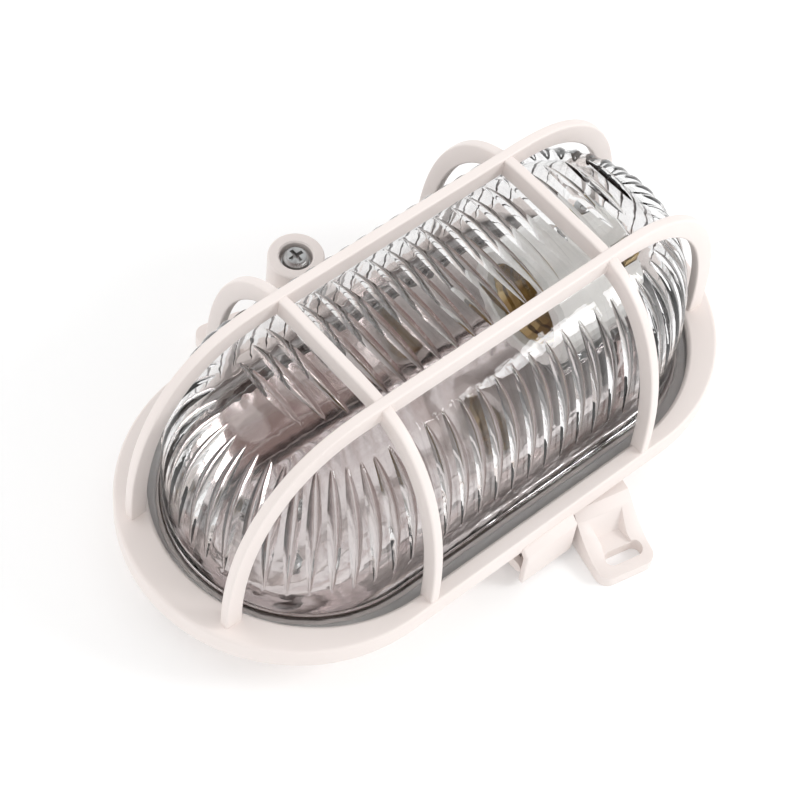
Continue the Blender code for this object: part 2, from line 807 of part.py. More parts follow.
def top_rib_point(x, y):
    """Point, normal and side on the crown, found from the oval's distance to the spine."""
    past = max(abs(x) - END_CENTRE, 0.0)
    out = Vector((math.copysign(past, x), y, 0))
    distance = max(out.length, 1e-6)
    share = 2 / math.pi * math.acos(min((distance / glass_radius) ** (GLASS_SQUARENESS / 2), 1.0))
    spot = Vector((x, y, 0)) - out
    direction = out.normalized() if out.length else Vector((0, 1, 0))
    point, normal, _ = glass_point(share, spot, direction)
    if distance < RIB_HEIGHT:
        normal = Vector((0, 0, 1))
    return point, normal, Vector((1, 0, 0))


def top_rib_places():
    between = int((HOOP_PLACE - BLADE_THICKNESS) / RIB_PITCH)
    places = [step * RIB_PITCH for step in range(-between, between + 1)]
    for step in range(1, TOP_RIBS_PAST_HOOP + 1):
        past = HOOP_PLACE + step * RIB_PITCH - RIB_HEIGHT
        places += [past, -past]
    return places


def top_ribs(bm):
    for x in top_rib_places():
        past = max(abs(x) - HOOP_PLACE, 0.0)
        half = TOP_RIB_HALF_LENGTH - 0.25 * past
        stations = []
        for step in range(RIB_STATIONS):
            y = -half + 2 * half * step / (RIB_STATIONS - 1)
            stations.append(top_rib_point(x, y))
        add_rib(bm, stations)


def glass_cover():
    cover = glass_shell()
    bm = bmesh.new()
    side_ribs(bm)
    top_ribs(bm)
    join(cover, object_from(bm, "ribs"))
    return shade(cover, 25.0)


def rim_ring():
    """The rim: a flat top over the glass's flange and a skirt round the base's seat. Its outer side
    reaches out at the ends, where the top is nearly twice as wide."""
    out = RIM_END_REACH
    inset = -RIM_END_INSET
    profile = [
        (rim_inner, rim_top - RIM_DISH, inset),
        (rim_inner, rim_underside, inset),
        (skirt_inner - RIM_FILLET, rim_underside, out),
        (skirt_inner, rim_underside - RIM_FILLET, out),
        (skirt_inner, rim_bottom, out),
        (RIM_RADIUS, rim_bottom, out),
        (RIM_RADIUS, rim_top - RIM_EDGE, out),
        (RIM_RADIUS - 0.3 * RIM_EDGE, rim_top - 0.3 * RIM_EDGE, out),
        (RIM_RADIUS - RIM_EDGE, rim_top, out),
        (rim_inner + RIM_DISH, rim_top, inset),
    ]
    return oval_sweep("grille", profile, True, white_plastic())


def blade(flat, foot_out, foot_in, place):
    """One blade of the cage: an arch from rim to rim, deeper at the crown than at its feet."""
    base = rim_top - BLADE_SINK
    crown = cage_top - base
    outer = shoulder(flat, foot_out - flat, base, crown, BLADE_SQUARENESS, BLADE_STEPS)
    inner = shoulder(flat, foot_in - flat, base, crown - BLADE_DEPTH, BLADE_SQUARENESS, BLADE_STEPS)
    feet = [(foot_in, rim_underside + FIT), (foot_out, rim_underside + FIT)]
    right_half = feet + outer
    left_half = [(-u, v) for u, v in reversed(right_half)]
    underside_left = [(-u, v) for u, v in inner]
    underside_right = inner[::-1]
    outline = right_half + left_half + underside_left + underside_right
    return prism("blade", outline, BLADE_THICKNESS, place)


def cage_blades():
    foot_out = RIM_RADIUS - BLADE_SET_IN
    foot_in = foot_out - BLADE_FOOT_DEPTH
    blades = []
    for side in (1, -1):
        across = Matrix.Translation((side * HOOP_PLACE, 0, 0)) @ ACROSS
        blades.append(blade(HOOP_FLAT, foot_out, foot_in, across))
    reach_out = END_CENTRE + math.sqrt(foot_out**2 - BAR_PLACE**2)
    reach_in = END_CENTRE + math.sqrt(foot_in**2 - BAR_PLACE**2)
    for side in (1, -1):
        along = Matrix.Translation((0, side * BAR_PLACE, 0)) @ ALONG
        blades.append(blade(END_CENTRE, reach_out, reach_in, along))
    return blades


def hook():
    """The hinge hook: a plate down from the skirt over the full width, and between the cheeks a curl
    from it in under the base's bar."""
    inside = HINGE_BAR_RADIUS + HOOK_PLAY
    outside = inside + HOOK_THICKNESS
    root_in = RIM_WALL / 2 - RIM_RADIUS
    root_out = -RIM_RADIUS - FIT
    neck = [
        (hinge_y - inside, rim_bottom - RIM_WALL),
        (root_in, rim_bottom + FIT),
        (root_in, rim_bottom + RIM_WALL),
        (root_out, rim_bottom + RIM_WALL),
        (hinge_y - outside, rim_bottom - FIT),
    ]
    foot = HINGE_Z - HOOK_DROP
    plate = neck + [(hinge_y - outside, foot), (hinge_y - inside, foot)]
    curl = [(hinge_y - inside, HINGE_Z + HOOK_DROP), (hinge_y - outside, HINGE_Z + HOOK_DROP)]
    curl += arc((hinge_y, HINGE_Z), outside, 180, 385, 14)
    curl += arc((hinge_y, HINGE_Z), inside, 385, 180, 14)
    left, right = cheek_faces()
    curl_width = right - left - 2 * HOOK_END_GAP
    plate_middle = Matrix.Translation(((HOOK_FROM + HOOK_TO) / 2, 0, 0))
    curl_middle = Matrix.Translation(((left + right) / 2, 0, 0))
    hung = prism("hook_plate", plate, HOOK_TO - HOOK_FROM, plate_middle @ ACROSS)
    return join(hung, prism("hook_curl", curl, curl_width, curl_middle @ ACROSS))


def screw_lug():
    """The lug for the closing screw: a round collar, bridged to the rim."""
    lug = cylinder("lug", LUG_RADIUS, (0, lug_place, rim_bottom), (0, lug_place, lug_top))
    low = (-LUG_RADIUS, RIM_RADIUS - RIM_WALL / 2, rim_bottom)
    high = (LUG_RADIUS, lug_place, rim_bottom + LUG_WEB_HEIGHT)
    return join(lug, box("bridge", low, high))


def lug_holes():
    def hole(name, radius, floor, segments):
        over = (0, lug_place, lug_top + LUG_FLOOR)
        return cylinder(name, radius, (0, lug_place, floor), over, segments)

    return [
        hole("through", SCREW_RADIUS + SCREW_PLAY, rim_bottom - LUG_FLOOR, 20),
        hole("counterbore", COUNTERBORE_RADIUS, counterbore_floor, 32),
    ]


def grille():
    cage = rim_ring()
    join(cage, *cage_blades(), hook(), screw_lug())
    cut(cage, *lug_holes())
    return shade(cage, 30.0)


def cross_recess(name, at, size, depth, axis=(0, 0, 1)):
    """Two crossed bars that cut a cross recess into a screw head."""
    turn = Vector((0, 0, 1)).rotation_difference(Vector(axis)).to_matrix().to_4x4()
    bars = []
    for angle in (0, 90):
        bm = bmesh.new()
        bmesh.ops.create_cube(bm, size=1.0)
        bmesh.ops.scale(bm, vec=(size, size * 0.24, 2 * depth), verts=bm.verts)
        place = Matrix.Translation(at) @ turn @ Matrix.Rotation(math.radians(angle), 4, "Z")
        bmesh.ops.transform(bm, matrix=place, verts=bm.verts)
        bars.append(object_from(bm, name))
    return bars


def closing_screw():
    under_head = counterbore_floor + FIT + WASHER_THICKNESS + FIT
    top = under_head + SCREW_HEAD_HEIGHT
    tip = boss_top - SCREW_REACH
    profile = [
        (tip, 0),
        (tip, SCREW_RADIUS - 0.5 * MM),
        (tip + 0.8 * MM, SCREW_RADIUS),
        (under_head, SCREW_RADIUS),
        (under_head, SCREW_HEAD_RADIUS),
        (top - 1.0 * MM, SCREW_HEAD_RADIUS),
        (top - 0.2 * MM, SCREW_HEAD_RADIUS - 0.9 * MM),
        (top, 0),
    ]
    screw = turned("closing_screw", profile, (0, lug_place, 0), (0, 0, 1), 28, zinc_steel())
    cut(screw, *cross_recess("recess", (0, lug_place, top), 5.0 * MM, 1.6 * MM))
    return shade(screw)


def screw_washer():
    bottom = counterbore_floor + FIT
    bore = SCREW_RADIUS + FIT
    profile = [
        (bottom, bore),
        (bottom, WASHER_RADIUS),
        (bottom + WASHER_THICKNESS, WASHER_RADIUS),
        (bottom + WASHER_THICKNESS, bore),
    ]
    return shade(turned("screw_washer", profile, (0, lug_place, 0), (0, 0, 1), 28, zinc_steel()))


def reflector_section(lift):
    """Flat floor, soft bend and straight slope of the dish, for the face that lies lift above its
    underside. The floor reaches further at the ends, where the slope is steeper."""
    radius = REFLECTOR_BEND - lift
    top = REFLECTOR_HEIGHT + REFLECTOR_BEND
    points = [(0, REFLECTOR_HEIGHT + lift)]
    for step in range(REFLECTOR_BEND_STEPS + 1):
        share = step / REFLECTOR_BEND_STEPS
        angle = REFLECTOR_SLOPE * share
        reach = REFLECTOR_END_REACH + (REFLECTOR_BEND_REACH - REFLECTOR_END_REACH) * share
        points.append((REFLECTOR_FLAT + radius * math.sin(angle), top - radius * math.cos(angle), reach))
    edge = reflector_edge - lift * math.sin(REFLECTOR_SLOPE)
    rise = (edge - points[-1][0]) * math.tan(REFLECTOR_SLOPE)
    points.append((edge, points[-1][1] + rise))
    return points


def reflector():
    section = reflector_section(0) + reflector_section(REFLECTOR_SHEET)[::-1]
    dish = oval_sweep("reflector", section, False, aluminium_sheet())
    for x, y in post_places():
        cut(dish, cylinder("hole", SMALL_SCREW_RADIUS + FIT, (x, y, 0), (x, y, CUT_REACH), 16))
    low = (wire_hole_x, WIRE_HOLE_Y, 0)
    high = (wire_hole_x, WIRE_HOLE_Y, CUT_REACH)
    cut(dish, cylinder("wire_hole", WIRE_HOLE_RADIUS, low, high, 20))
    return shade(dish)


def small_screw(name, seat, axis, length=SMALL_SCREW_LENGTH, radius=SMALL_SCREW_RADIUS):
    """A pan-head screw whose head sits on the point seat and stands along axis."""
    head = SMALL_HEAD_RADIUS * radius / SMALL_SCREW_RADIUS
    profile = [
        (-length, 0),
        (-length, radius - 0.4 * MM),
        (-length + 0.6 * MM, radius),
        (0, radius),
        (0, head),
        (SMALL_HEAD_HEIGHT - 0.8 * MM, head),
        (SMALL_HEAD_HEIGHT, head - 1.0 * MM),
        (SMALL_HEAD_HEIGHT, 0),
    ]
    screw = turned(name, profile, seat, axis, 20, zinc_steel())
    top = Vector(seat) + Vector(axis) * SMALL_HEAD_HEIGHT
    cut(screw, *cross_recess("recess", top, 1.2 * head, 0.9 * MM, axis))
    return shade(screw)


def reflector_screws():
    seat_height = REFLECTOR_HEIGHT + REFLECTOR_SHEET + FIT
    for index, side in enumerate((-1, 1), 1):
        seat = (reflector_screw_x, side * REFLECTOR_SCREW_Y, seat_height)
        small_screw(f"reflector_screw_{index}", seat, (0, 0, 1))


def holder_bracket():
    """A steel strip with its foot on the reflector and its upright behind the lampholder."""
    foot_low = REFLECTOR_HEIGHT + REFLECTOR_SHEET + FIT
    inner = holder_back + FIT
    outer = inner + BRACKET_SHEET
    bend_out = BRACKET_BEND + BRACKET_SHEET
    bend_centre = (outer - bend_out, foot_low + bend_out)
    outline = [(outer - BRACKET_FOOT, foot_low)]
    outline += arc(bend_centre, bend_out, 270, 360, 6)
    outline += [(outer, BRACKET_TOP), (inner, BRACKET_TOP)]
    outline += arc(bend_centre, BRACKET_BEND, 360, 270, 6)
    outline.append((outer - BRACKET_FOOT, foot_low + BRACKET_SHEET))
    bracket = prism("holder_bracket", outline, BRACKET_WIDTH, ALONG, zinc_steel())
    bore = SMALL_SCREW_RADIUS + FIT
    for side in (1, -1):
        spot = (bracket_screw_x, side * BRACKET_SCREW_Y)
        cut(bracket, cylinder("hole", bore, (*spot, 0), (*spot, CUT_REACH), 16))
        rise = LAMP_AXIS + side * HOLDER_SCREW_RISE
        low = (inner - BRACKET_BEND, 0, rise)
        high = (outer + BRACKET_BEND, 0, rise)
        cut(bracket, cylinder("hole", bore, low, high, 16))
    return shade(bracket)


def bracket_screws():
    foot_top = REFLECTOR_HEIGHT + REFLECTOR_SHEET + FIT + BRACKET_SHEET + FIT
    for index, side in enumerate((-1, 1), 1):
        seat = (bracket_screw_x, side * BRACKET_SCREW_Y, foot_top)
        small_screw(f"bracket_screw_{index}", seat, (0, 0, 1), SMALL_SCREW_LENGTH)


def holder_screws():
    behind = holder_back + FIT + BRACKET_SHEET + FIT
    for index, side in enumerate((-1, 1), 1):
        seat = (behind, 0, LAMP_AXIS + side * HOLDER_SCREW_RISE)
        small_screw(f"holder_screw_{index}", seat, (1, 0, 0))


def terminal_pocket(side):
    """The pocket for one terminal, open at the top and the back of the porcelain."""
    half = TERMINAL_SIZE / 2 + FIT
    y = side * TERMINAL_Y
    deep = TERMINAL_SIZE + 2 * TERMINAL_SET_IN
    low = (holder_back - deep, y - half, terminal_floor() - FIT)
    high = (holder_back + TERMINAL_SET_IN, y + half, LAMP_AXIS + HOLDER_RADIUS + TERMINAL_SET_IN)
    return box("pocket", low, high)


def terminal_floor():
    return LAMP_AXIS + HOLDER_BACK_RADIUS - TERMINAL_SINK - TERMINAL_SIZE / 2


def lampholder_body():
    """The porcelain, turned about the lamp's axis, with the run measured forward from its back."""
    mouth_ease = 0.4 * HOLDER_EASE
    floor = HOLDER_LENGTH - HOLDER_BORE_DEPTH
    profile = [
        (0, 0),
        (0, HOLDER_BACK_RADIUS - HOLDER_EASE),
        (HOLDER_EASE, HOLDER_BACK_RADIUS),
        (HOLDER_BACK_LENGTH - HOLDER_EASE, HOLDER_BACK_RADIUS),
        (HOLDER_BACK_LENGTH, HOLDER_RADIUS),
        (HOLDER_LENGTH - HOLDER_EASE, HOLDER_RADIUS),
        (HOLDER_LENGTH, HOLDER_RADIUS - HOLDER_EASE),
        (HOLDER_LENGTH, HOLDER_BORE + mouth_ease),
        (HOLDER_LENGTH - mouth_ease, HOLDER_BORE),
        (floor, HOLDER_BORE),
        (floor, 0),
    ]
    back = (holder_back, 0, LAMP_AXIS)
    body = turned("lampholder_body", profile, back, (-1, 0, 0), 36, porcelain())
    for side in (1, -1):
        rise = LAMP_AXIS + side * HOLDER_SCREW_RISE
        cut(body, terminal_pocket(side))
        low = (holder_back - SMALL_SCREW_LENGTH, 0, rise)
        high = (holder_back + SMALL_SCREW_LENGTH, 0, rise)
        cut(body, cylinder("hole", SMALL_SCREW_RADIUS + FIT, low, high, 16))
    return shade(body)


def thread_shell():
    """The threaded brass sleeve, drawn as rings at the thread's pitch."""
    start = HOLDER_LENGTH - HOLDER_BORE_DEPTH + SHELL_STANDOFF
    outer = []
    for step in range(2 * SHELL_TURNS + 1):
        wave = SHELL_WAVE if step % 2 else 0
        outer.append((start + step * SHELL_PITCH / 2, SHELL_RADIUS - wave))
    inner = [(run, radius - SHELL_SHEET) for run, radius in reversed(outer)]
    back = (holder_back, 0, LAMP_AXIS)
    return shade(turned("thread_shell", outer + inner, back, (-1, 0, 0), 24, brass()), 60.0)


def contact_leaf(name, spine):
    """A strip of sheet bent along a spine of (x, z) points, which is its back."""
    front = [(x - CONTACT_SHEET, z) for x, z in reversed(spine)]
    return shade(prism(name, spine + front, CONTACT_WIDTH, ALONG, brass()))


def contacts():
    """The sprung middle contact and the contact under the sleeve."""
    floor = holder_back - HOLDER_LENGTH + HOLDER_BORE_DEPTH - FIT
    middle = [
        (floor, LAMP_AXIS - CONTACT_ROOT),
        (floor, LAMP_AXIS - 0.3 * CONTACT_ROOT),
        (floor - CONTACT_SPRING, LAMP_AXIS + 0.4 * CONTACT_ROOT),
        (floor - 0.8 * CONTACT_SPRING, LAMP_AXIS + 0.6 * CONTACT_ROOT),
    ]
    contact_leaf("centre_contact", middle)
    side = [
        (floor, LAMP_AXIS + CONTACT_ROOT),
        (floor, LAMP_AXIS + CONTACT_ROOT + SIDE_CONTACT_LENGTH),
    ]
    contact_leaf("side_contact", side)


def terminals():
    """Two brass blocks in their pockets, each with a clamping screw on top."""
    floor = terminal_floor()
    top = floor + TERMINAL_SIZE
    half = TERMINAL_SIZE / 2
    middle_x = holder_back - half - TERMINAL_SET_IN
    wire = floor + 2 * TERMINAL_WIRE_RADIUS
    for index, side in enumerate((-1, 1), 1):
        y = side * TERMINAL_Y
        low = (middle_x - half, y - half, floor)
        high = (middle_x + half, y + half, top)
        clamp = box(f"terminal_clamp_{index}", low, high, brass())
        bore_foot = (middle_x, y, floor + TERMINAL_WIRE_RADIUS)
        bore_head = (middle_x, y, top + half)
        bore = cylinder("bore", TERMINAL_SCREW_RADIUS + FIT, bore_foot, bore_head, 16)
        start = (middle_x - TERMINAL_SIZE, y, wire)
        stop = (middle_x + TERMINAL_SIZE, y, wire)
        cut(clamp, bore, cylinder("wire_way", TERMINAL_WIRE_RADIUS, start, stop, 12))
        seat = (middle_x, y, top + FIT)
        name = f"terminal_screw_{index}"
        small_screw(name, seat, (0, 0, 1), TERMINAL_SCREW_LENGTH, TERMINAL_SCREW_RADIUS)


def cable_grommets():
    """A rubber grommet in each end wall, blind until a cable is pushed through its nose."""
    pad_in = END_CENTRE + entry_pad_in - FIT
    pad_out = END_CENTRE + entry_pad_out + FIT
    waist = ENTRY_RADIUS - FIT
    lip = ENTRY_RADIUS + GROMMET_LIP
    for index, end in enumerate((-1, 1), 1):
        profile = [
            (pad_in - GROMMET_LIP, 0),
            (pad_in - GROMMET_LIP, lip - 0.4 * GROMMET_LIP),
            (pad_in, lip),
            (pad_in, waist),
            (pad_out, waist),
            (pad_out, lip),
            (pad_out + 0.8 * GROMMET_LIP, lip - 0.2 * GROMMET_LIP),
            (pad_out + GROMMET_NOSE, 0.55 * waist),
            (pad_out + GROMMET_NOSE, 0),
        ]
        name = f"cable_grommet_{index}"
        axis_point = (0, 0, ENTRY_HEIGHT)
        shade(turned(name, profile, axis_point, (end, 0, 0), ENTRY_SEGMENTS, grey_rubber()))


def build():
    base_tray()
    gasket()
    glass_cover()
    grille()
    closing_screw()
    screw_washer()
    reflector()
    reflector_screws()
    holder_bracket()
    bracket_screws()
    lampholder_body()
    holder_screws()
    thread_shell()
    contacts()
    terminals()
    cable_grommets()


build()
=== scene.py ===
"""Oval bulkhead lamp: the finish of every surface, the ribbed glass and the fine mouldings."""
import json
import math

import bmesh
import bpy
from mathutils import Matrix, Vector

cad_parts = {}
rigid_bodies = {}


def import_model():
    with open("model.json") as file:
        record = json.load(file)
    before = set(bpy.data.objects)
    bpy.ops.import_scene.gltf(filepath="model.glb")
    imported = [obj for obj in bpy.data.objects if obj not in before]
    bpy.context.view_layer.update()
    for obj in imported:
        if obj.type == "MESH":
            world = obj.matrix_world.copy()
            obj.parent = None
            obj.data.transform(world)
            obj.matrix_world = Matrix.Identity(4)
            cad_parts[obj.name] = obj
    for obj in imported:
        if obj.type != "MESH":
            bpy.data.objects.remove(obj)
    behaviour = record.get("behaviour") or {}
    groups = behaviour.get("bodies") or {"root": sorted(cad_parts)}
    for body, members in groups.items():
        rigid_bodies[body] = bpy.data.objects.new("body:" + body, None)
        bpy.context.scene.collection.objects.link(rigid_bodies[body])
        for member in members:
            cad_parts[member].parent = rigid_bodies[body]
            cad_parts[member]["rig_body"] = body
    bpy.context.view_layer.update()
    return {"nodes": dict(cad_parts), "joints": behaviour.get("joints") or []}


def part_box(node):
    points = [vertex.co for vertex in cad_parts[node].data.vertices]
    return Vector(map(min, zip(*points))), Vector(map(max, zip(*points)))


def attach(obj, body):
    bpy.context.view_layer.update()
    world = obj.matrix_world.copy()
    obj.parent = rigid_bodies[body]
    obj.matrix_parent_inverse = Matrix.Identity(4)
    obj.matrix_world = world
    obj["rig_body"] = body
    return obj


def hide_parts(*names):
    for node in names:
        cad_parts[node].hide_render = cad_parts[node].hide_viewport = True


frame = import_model()

MM = 0.001

# The oval that every ring follows, and the steps that make it look round
END_CENTRE = 46.5 * MM
END_REACH = 3.5 * MM
ARC_STEPS = 72
STRAIGHT_STEPS = 24
TURN_STEPS = 72
HOLE_STEPS = 48

# Edges that turn by more than these angles, in degrees, are rounded or kept crisp
ROUNDED_ANGLE = 35.0
CRISP_ANGLE = 32.0
GLASS_CRISP_ANGLE = 20.0

# Steps in a rounded corner, and the most of an edge that one corner takes
CORNER_STEPS = 5
CORNER_MOST = 0.45
ROUNDED_EDGE_STEPS = 3

# Faces that turn by less than this angle, and points nearer than these distances, count as one
COPLANAR_ANGLE = 1.5
SAME_POINT = 0.001 * MM
SAME_POINT_IN_SOLID = 0.002 * MM

# Rim of the cage
RIM_WALL = 2.2 * MM
RIM_WIDTH = 5.2 * MM
RIM_END_INSET = 2.3 * MM
RIM_NOSE = 2.4 * MM
RIM_DISH = 0.9 * MM
RIM_ROUND = 1.2 * MM
RIM_INNER_ROUND = 0.3 * MM
SKIRT_DEPTH = 5.8 * MM
SKIRT_ROUND = 0.6 * MM
SKIRT_INNER_ROUND = 0.4 * MM
EDGE_ROUND = 0.5 * MM
FIT = 0.3 * MM

# Hoops and bars
BLADE_THICKNESS = 3.2 * MM
BLADE_DEPTH = 7.0 * MM
BLADE_FOOT_DEPTH = 5.2 * MM
BLADE_SET_IN = 0.5 * MM
BLADE_SINK = 1.4 * MM
BLADE_SQUARENESS = 2.4
BLADE_ROUND = 0.8 * MM
BLADE_STEPS = 40
HOOP_PLACE = 42.0 * MM
HOOP_FLAT = 14.0 * MM
BAR_PLACE = 22.5 * MM

# Glass cover
FLANGE_THICKNESS = 2.2 * MM
FLANGE_SHOWN = 5.8 * MM
FLANGE_ROUND = 0.4 * MM
GLASS_FOOT = 1.2 * MM
GLASS_FOOT_STEPS = 5
GLASS_WALL = 3.0 * MM
GLASS_SQUARENESS = 3.2
GLASS_STEPS = 40
SLOPE_STEP = 0.01

# Ribs pressed into the glass. The solid's ribs are higher than the fine ones
SOLID_RIB_HEIGHT = 1.1 * MM
RIB_PITCH = 6.4 * MM
RIB_RISE = 0.75 * MM
RIB_HALF_WIDTH = 2.1 * MM
RIB_SHARPNESS = 1.6
RIB_SWELL = 0.6
RIB_ROOT = 0.9 * MM
RIB_ROOT_WIDTH = 0.9
RIB_TIP_DEPTH = 0.09 * MM
RIB_EDGE_SINK = 0.05 * MM
RIB_SECTION_STEPS = 8
RIB_STATIONS = 22
SIDE_RIB_FROM = 0.04
SIDE_RIB_TO = 0.68
TOP_RIB_HALF_LENGTH = 21.0 * MM
TOP_RIB_SHRINK = 0.4
TOP_PATTERN_X = 4.0 * MM
TOP_PATTERN_Y = 3.0 * MM
TOP_RIBS_EACH_WAY = 10

# On the spine itself the outward direction is lost, so points of the crown keep just off it
NEAR_SPINE = 0.01 * MM
LAST_SHARE = 0.999

# Closing screw's lug
LUG_RADIUS = 9.0 * MM
LUG_FLOOR = 11.1 * MM
LUG_WEB_HEIGHT = 7.4 * MM
LUG_WEB_ROUND = 0.4 * MM
LUG_ROUND = 0.8 * MM
COUNTERBORE_RADIUS = 5.3 * MM
SCREW_HOLE_RADIUS = 2.75 * MM

# Hinge hook
HOOK_FROM = -7.5 * MM
HOOK_TO = 12.8 * MM
HOOK_INSIDE = 2.3 * MM
HOOK_THICKNESS = 2.0 * MM
HOOK_DROP = 4.0 * MM
CURL_FROM = -3.6 * MM
CURL_TO = 8.9 * MM
CURL_START = 180
CURL_END = 385
CURL_STEPS = 40
CURL_ROUND = 0.2 * MM

# Reflector
REFLECTOR_FLAT = 17.0 * MM
REFLECTOR_END_REACH = 11.0 * MM
REFLECTOR_BEND_REACH = 5.0 * MM
REFLECTOR_BEND = 18.4 * MM
REFLECTOR_BEND_STEPS = 12
REFLECTOR_SLOPE = math.radians(33.0)
REFLECTOR_SHEET = 0.8 * MM
SMALL_HOLE_RADIUS = 1.8 * MM
WIRE_HOLE_RADIUS = 5.0 * MM
WIRE_HOLE_OUT = 16.5 * MM
WIRE_HOLE_Y = 19.5 * MM

# Small edge rounding of the solids that keep their shape
TRAY_ROUND = 0.35 * MM
TERMINAL_ROUND = 0.25 * MM
BRACKET_ROUND = 0.2 * MM
SCREW_ROUND = 0.15 * MM

# Camera, fitted to the photograph. The lens and its centre are in pixels of the picture's frame
CAMERA_AZIMUTH = math.radians(-48.05)
CAMERA_ELEVATION = math.radians(55.84)
CAMERA_ROLL = math.radians(9.08)
CAMERA_DISTANCE = 696.34 * MM
CAMERA_AIM_HEIGHT = 33.4 * MM
SENSOR_MM = 36
FRAME_PIXELS = 800
FOCAL_PIXELS = 2311.24
CENTRE_X_PIXELS = 428.02
CENTRE_Y_PIXELS = 389.71

# Dark places of the room, and the bright window in them. Each is a direction, with the angles in
# degrees from its middle to where it starts to fade and to where it ends
CEILING = ((0, 0, 1), 40, 70)
CEILING_DEPTH = 0.5
OVERHEAD = ((0.41, 0.05, 0.91), 15, 19)
BESIDE = ((0.93, 0.37, 0.05), 6, 20)
WINDOW = ((0.50, 0.48, 0.72), 12, 20)
ROOM_TINTS = ((0.0, "#ffffff"), (0.3, "#c4b0ab"), (0.65, "#5a4541"), (1.0, "#050202"))
MATT_LIGHT = 0.88
SEEN_LIGHT = 1.0

# Lamps: place and width in metres, power in watts
FILL_LAMP = ((-0.45, 0.45, 0.85), 0.6, 1.2)
KEY_LAMP = ((0.55, -0.60, 0.60), 0.35, 3.0)
LAMP_AIM = (0, 0, 0.03)

# Floor
FLOOR_HALF_WIDTH = 4.0
FLOOR_GAP = 0.1 * MM
FLOOR_GLOW = 0.14

# Where the rings lie, from the boxes of the solids
cage_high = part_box("grille")[1]
glass_low, glass_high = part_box("glass_cover")
rim_radius = cage_high.x - END_CENTRE - END_REACH
rim_inner = rim_radius - RIM_WIDTH
skirt_inner = rim_radius - RIM_WALL
flange_radius = glass_high.x - END_CENTRE - END_REACH
flange_bottom = glass_low.z
flange_top = flange_bottom + FLANGE_THICKNESS
rim_underside = flange_top + FIT
rim_top = rim_underside + RIM_NOSE
rim_bottom = rim_underside - SKIRT_DEPTH
glass_radius = rim_inner - FLANGE_SHOWN
glass_height = glass_high.z - SOLID_RIB_HEIGHT - flange_top


def linear(hex_colour):
    """An sRGB hex colour as the linear values that a shader takes."""
    parts = [int(hex_colour[place:place + 2], 16) / 255 for place in (1, 3, 5)]
    return (*[part / 12.92 if part <= 0.04045 else ((part + 0.055) / 1.055) ** 2.4 for part in parts], 1.0)


def per_metre(size_mm):
    """The texture scale that gives a pattern one feature every so many millimetres."""
    return 1 / (size_mm * MM)


def feed(tree, node, inputs):
    """Sets a node's inputs. Each is a value, another node's output, or a node for its main output."""
    for name, value in inputs.items():
        if isinstance(name, int):
            into = node.inputs[name]
        else:
            into = next(each for each in node.inputs if each.name == name and each.enabled)
        if isinstance(value, bpy.types.Node):
            value = next(each for each in value.outputs if each.enabled)
        if isinstance(value, bpy.types.NodeSocket):
            tree.links.new(value, into)
        else:
            into.default_value = value


def add(tree, kind, inputs=None, **settings):
    """Adds one node with its settings and links."""
    node = tree.nodes.new(kind)
    for name, value in settings.items():
        setattr(node, name, value)
    feed(tree, node, inputs or {})
    return node


def finish(name, **sockets):
    """A material with one Principled shader, whose whole-surface values sit on its own sockets."""
    made = bpy.data.materials.new(name)
    made.use_nodes = True
    shader = made.node_tree.nodes["Principled BSDF"]
    for socket, value in sockets.items():
        shader.inputs[socket.replace("_", " ")].default_value = value
    return made, made.node_tree, shader


def moulded_polypropylene():
    """Injection-moulded polypropylene: a warm off-white with a fine die grain that breaks up its
    satin gloss, and a faint cloudiness where the melt flowed. The real grain is finer, and is drawn
    at half a millimetre so that it shows."""
    made, tree, shader = finish("moulded_polypropylene", Roughness=0.42, IOR=1.49)
    place = add(tree, "ShaderNodeTexCoord")
    flow = add(tree, "ShaderNodeTexNoise", {
        "Vector": place.outputs["Object"], "Scale": per_metre(35), "Detail": 3.0})
    tint = add(tree, "ShaderNodeMix", {
        "Factor": flow, "A": linear("#f3eae6"), "B": linear("#ece2dd")}, data_type="RGBA")
    grain = add(tree, "ShaderNodeTexNoise", {
        "Vector": place.outputs["Object"], "Scale": per_metre(0.5), "Detail": 4.0, "Roughness": 0.6})
    bump = add(tree, "ShaderNodeBump", {"Height": grain, "Strength": 0.25, "Distance": 0.03 * MM})
    feed(tree, shader, {"Base Color": tint, "Normal": bump})
    return made


def pressed_glass():
    """Pressed soda-lime glass: clear, with the slow ripple that a mould and a plunger leave."""
    made, tree, shader = finish(
        "pressed_glass", Base_Color=linear("#fbfbfb"), Roughness=0.0, IOR=1.5, Transmission_Weight=1.0)
    place = add(tree, "ShaderNodeTexCoord")
    ripple = add(tree, "ShaderNodeTexNoise", {
        "Vector": place.outputs["Object"], "Scale": per_metre(9), "Detail": 2.0})
    bump = add(tree, "ShaderNodeBump", {"Height": ripple, "Strength": 0.5, "Distance": 0.25 * MM})
    feed(tree, shader, {"Normal": bump})
    return made


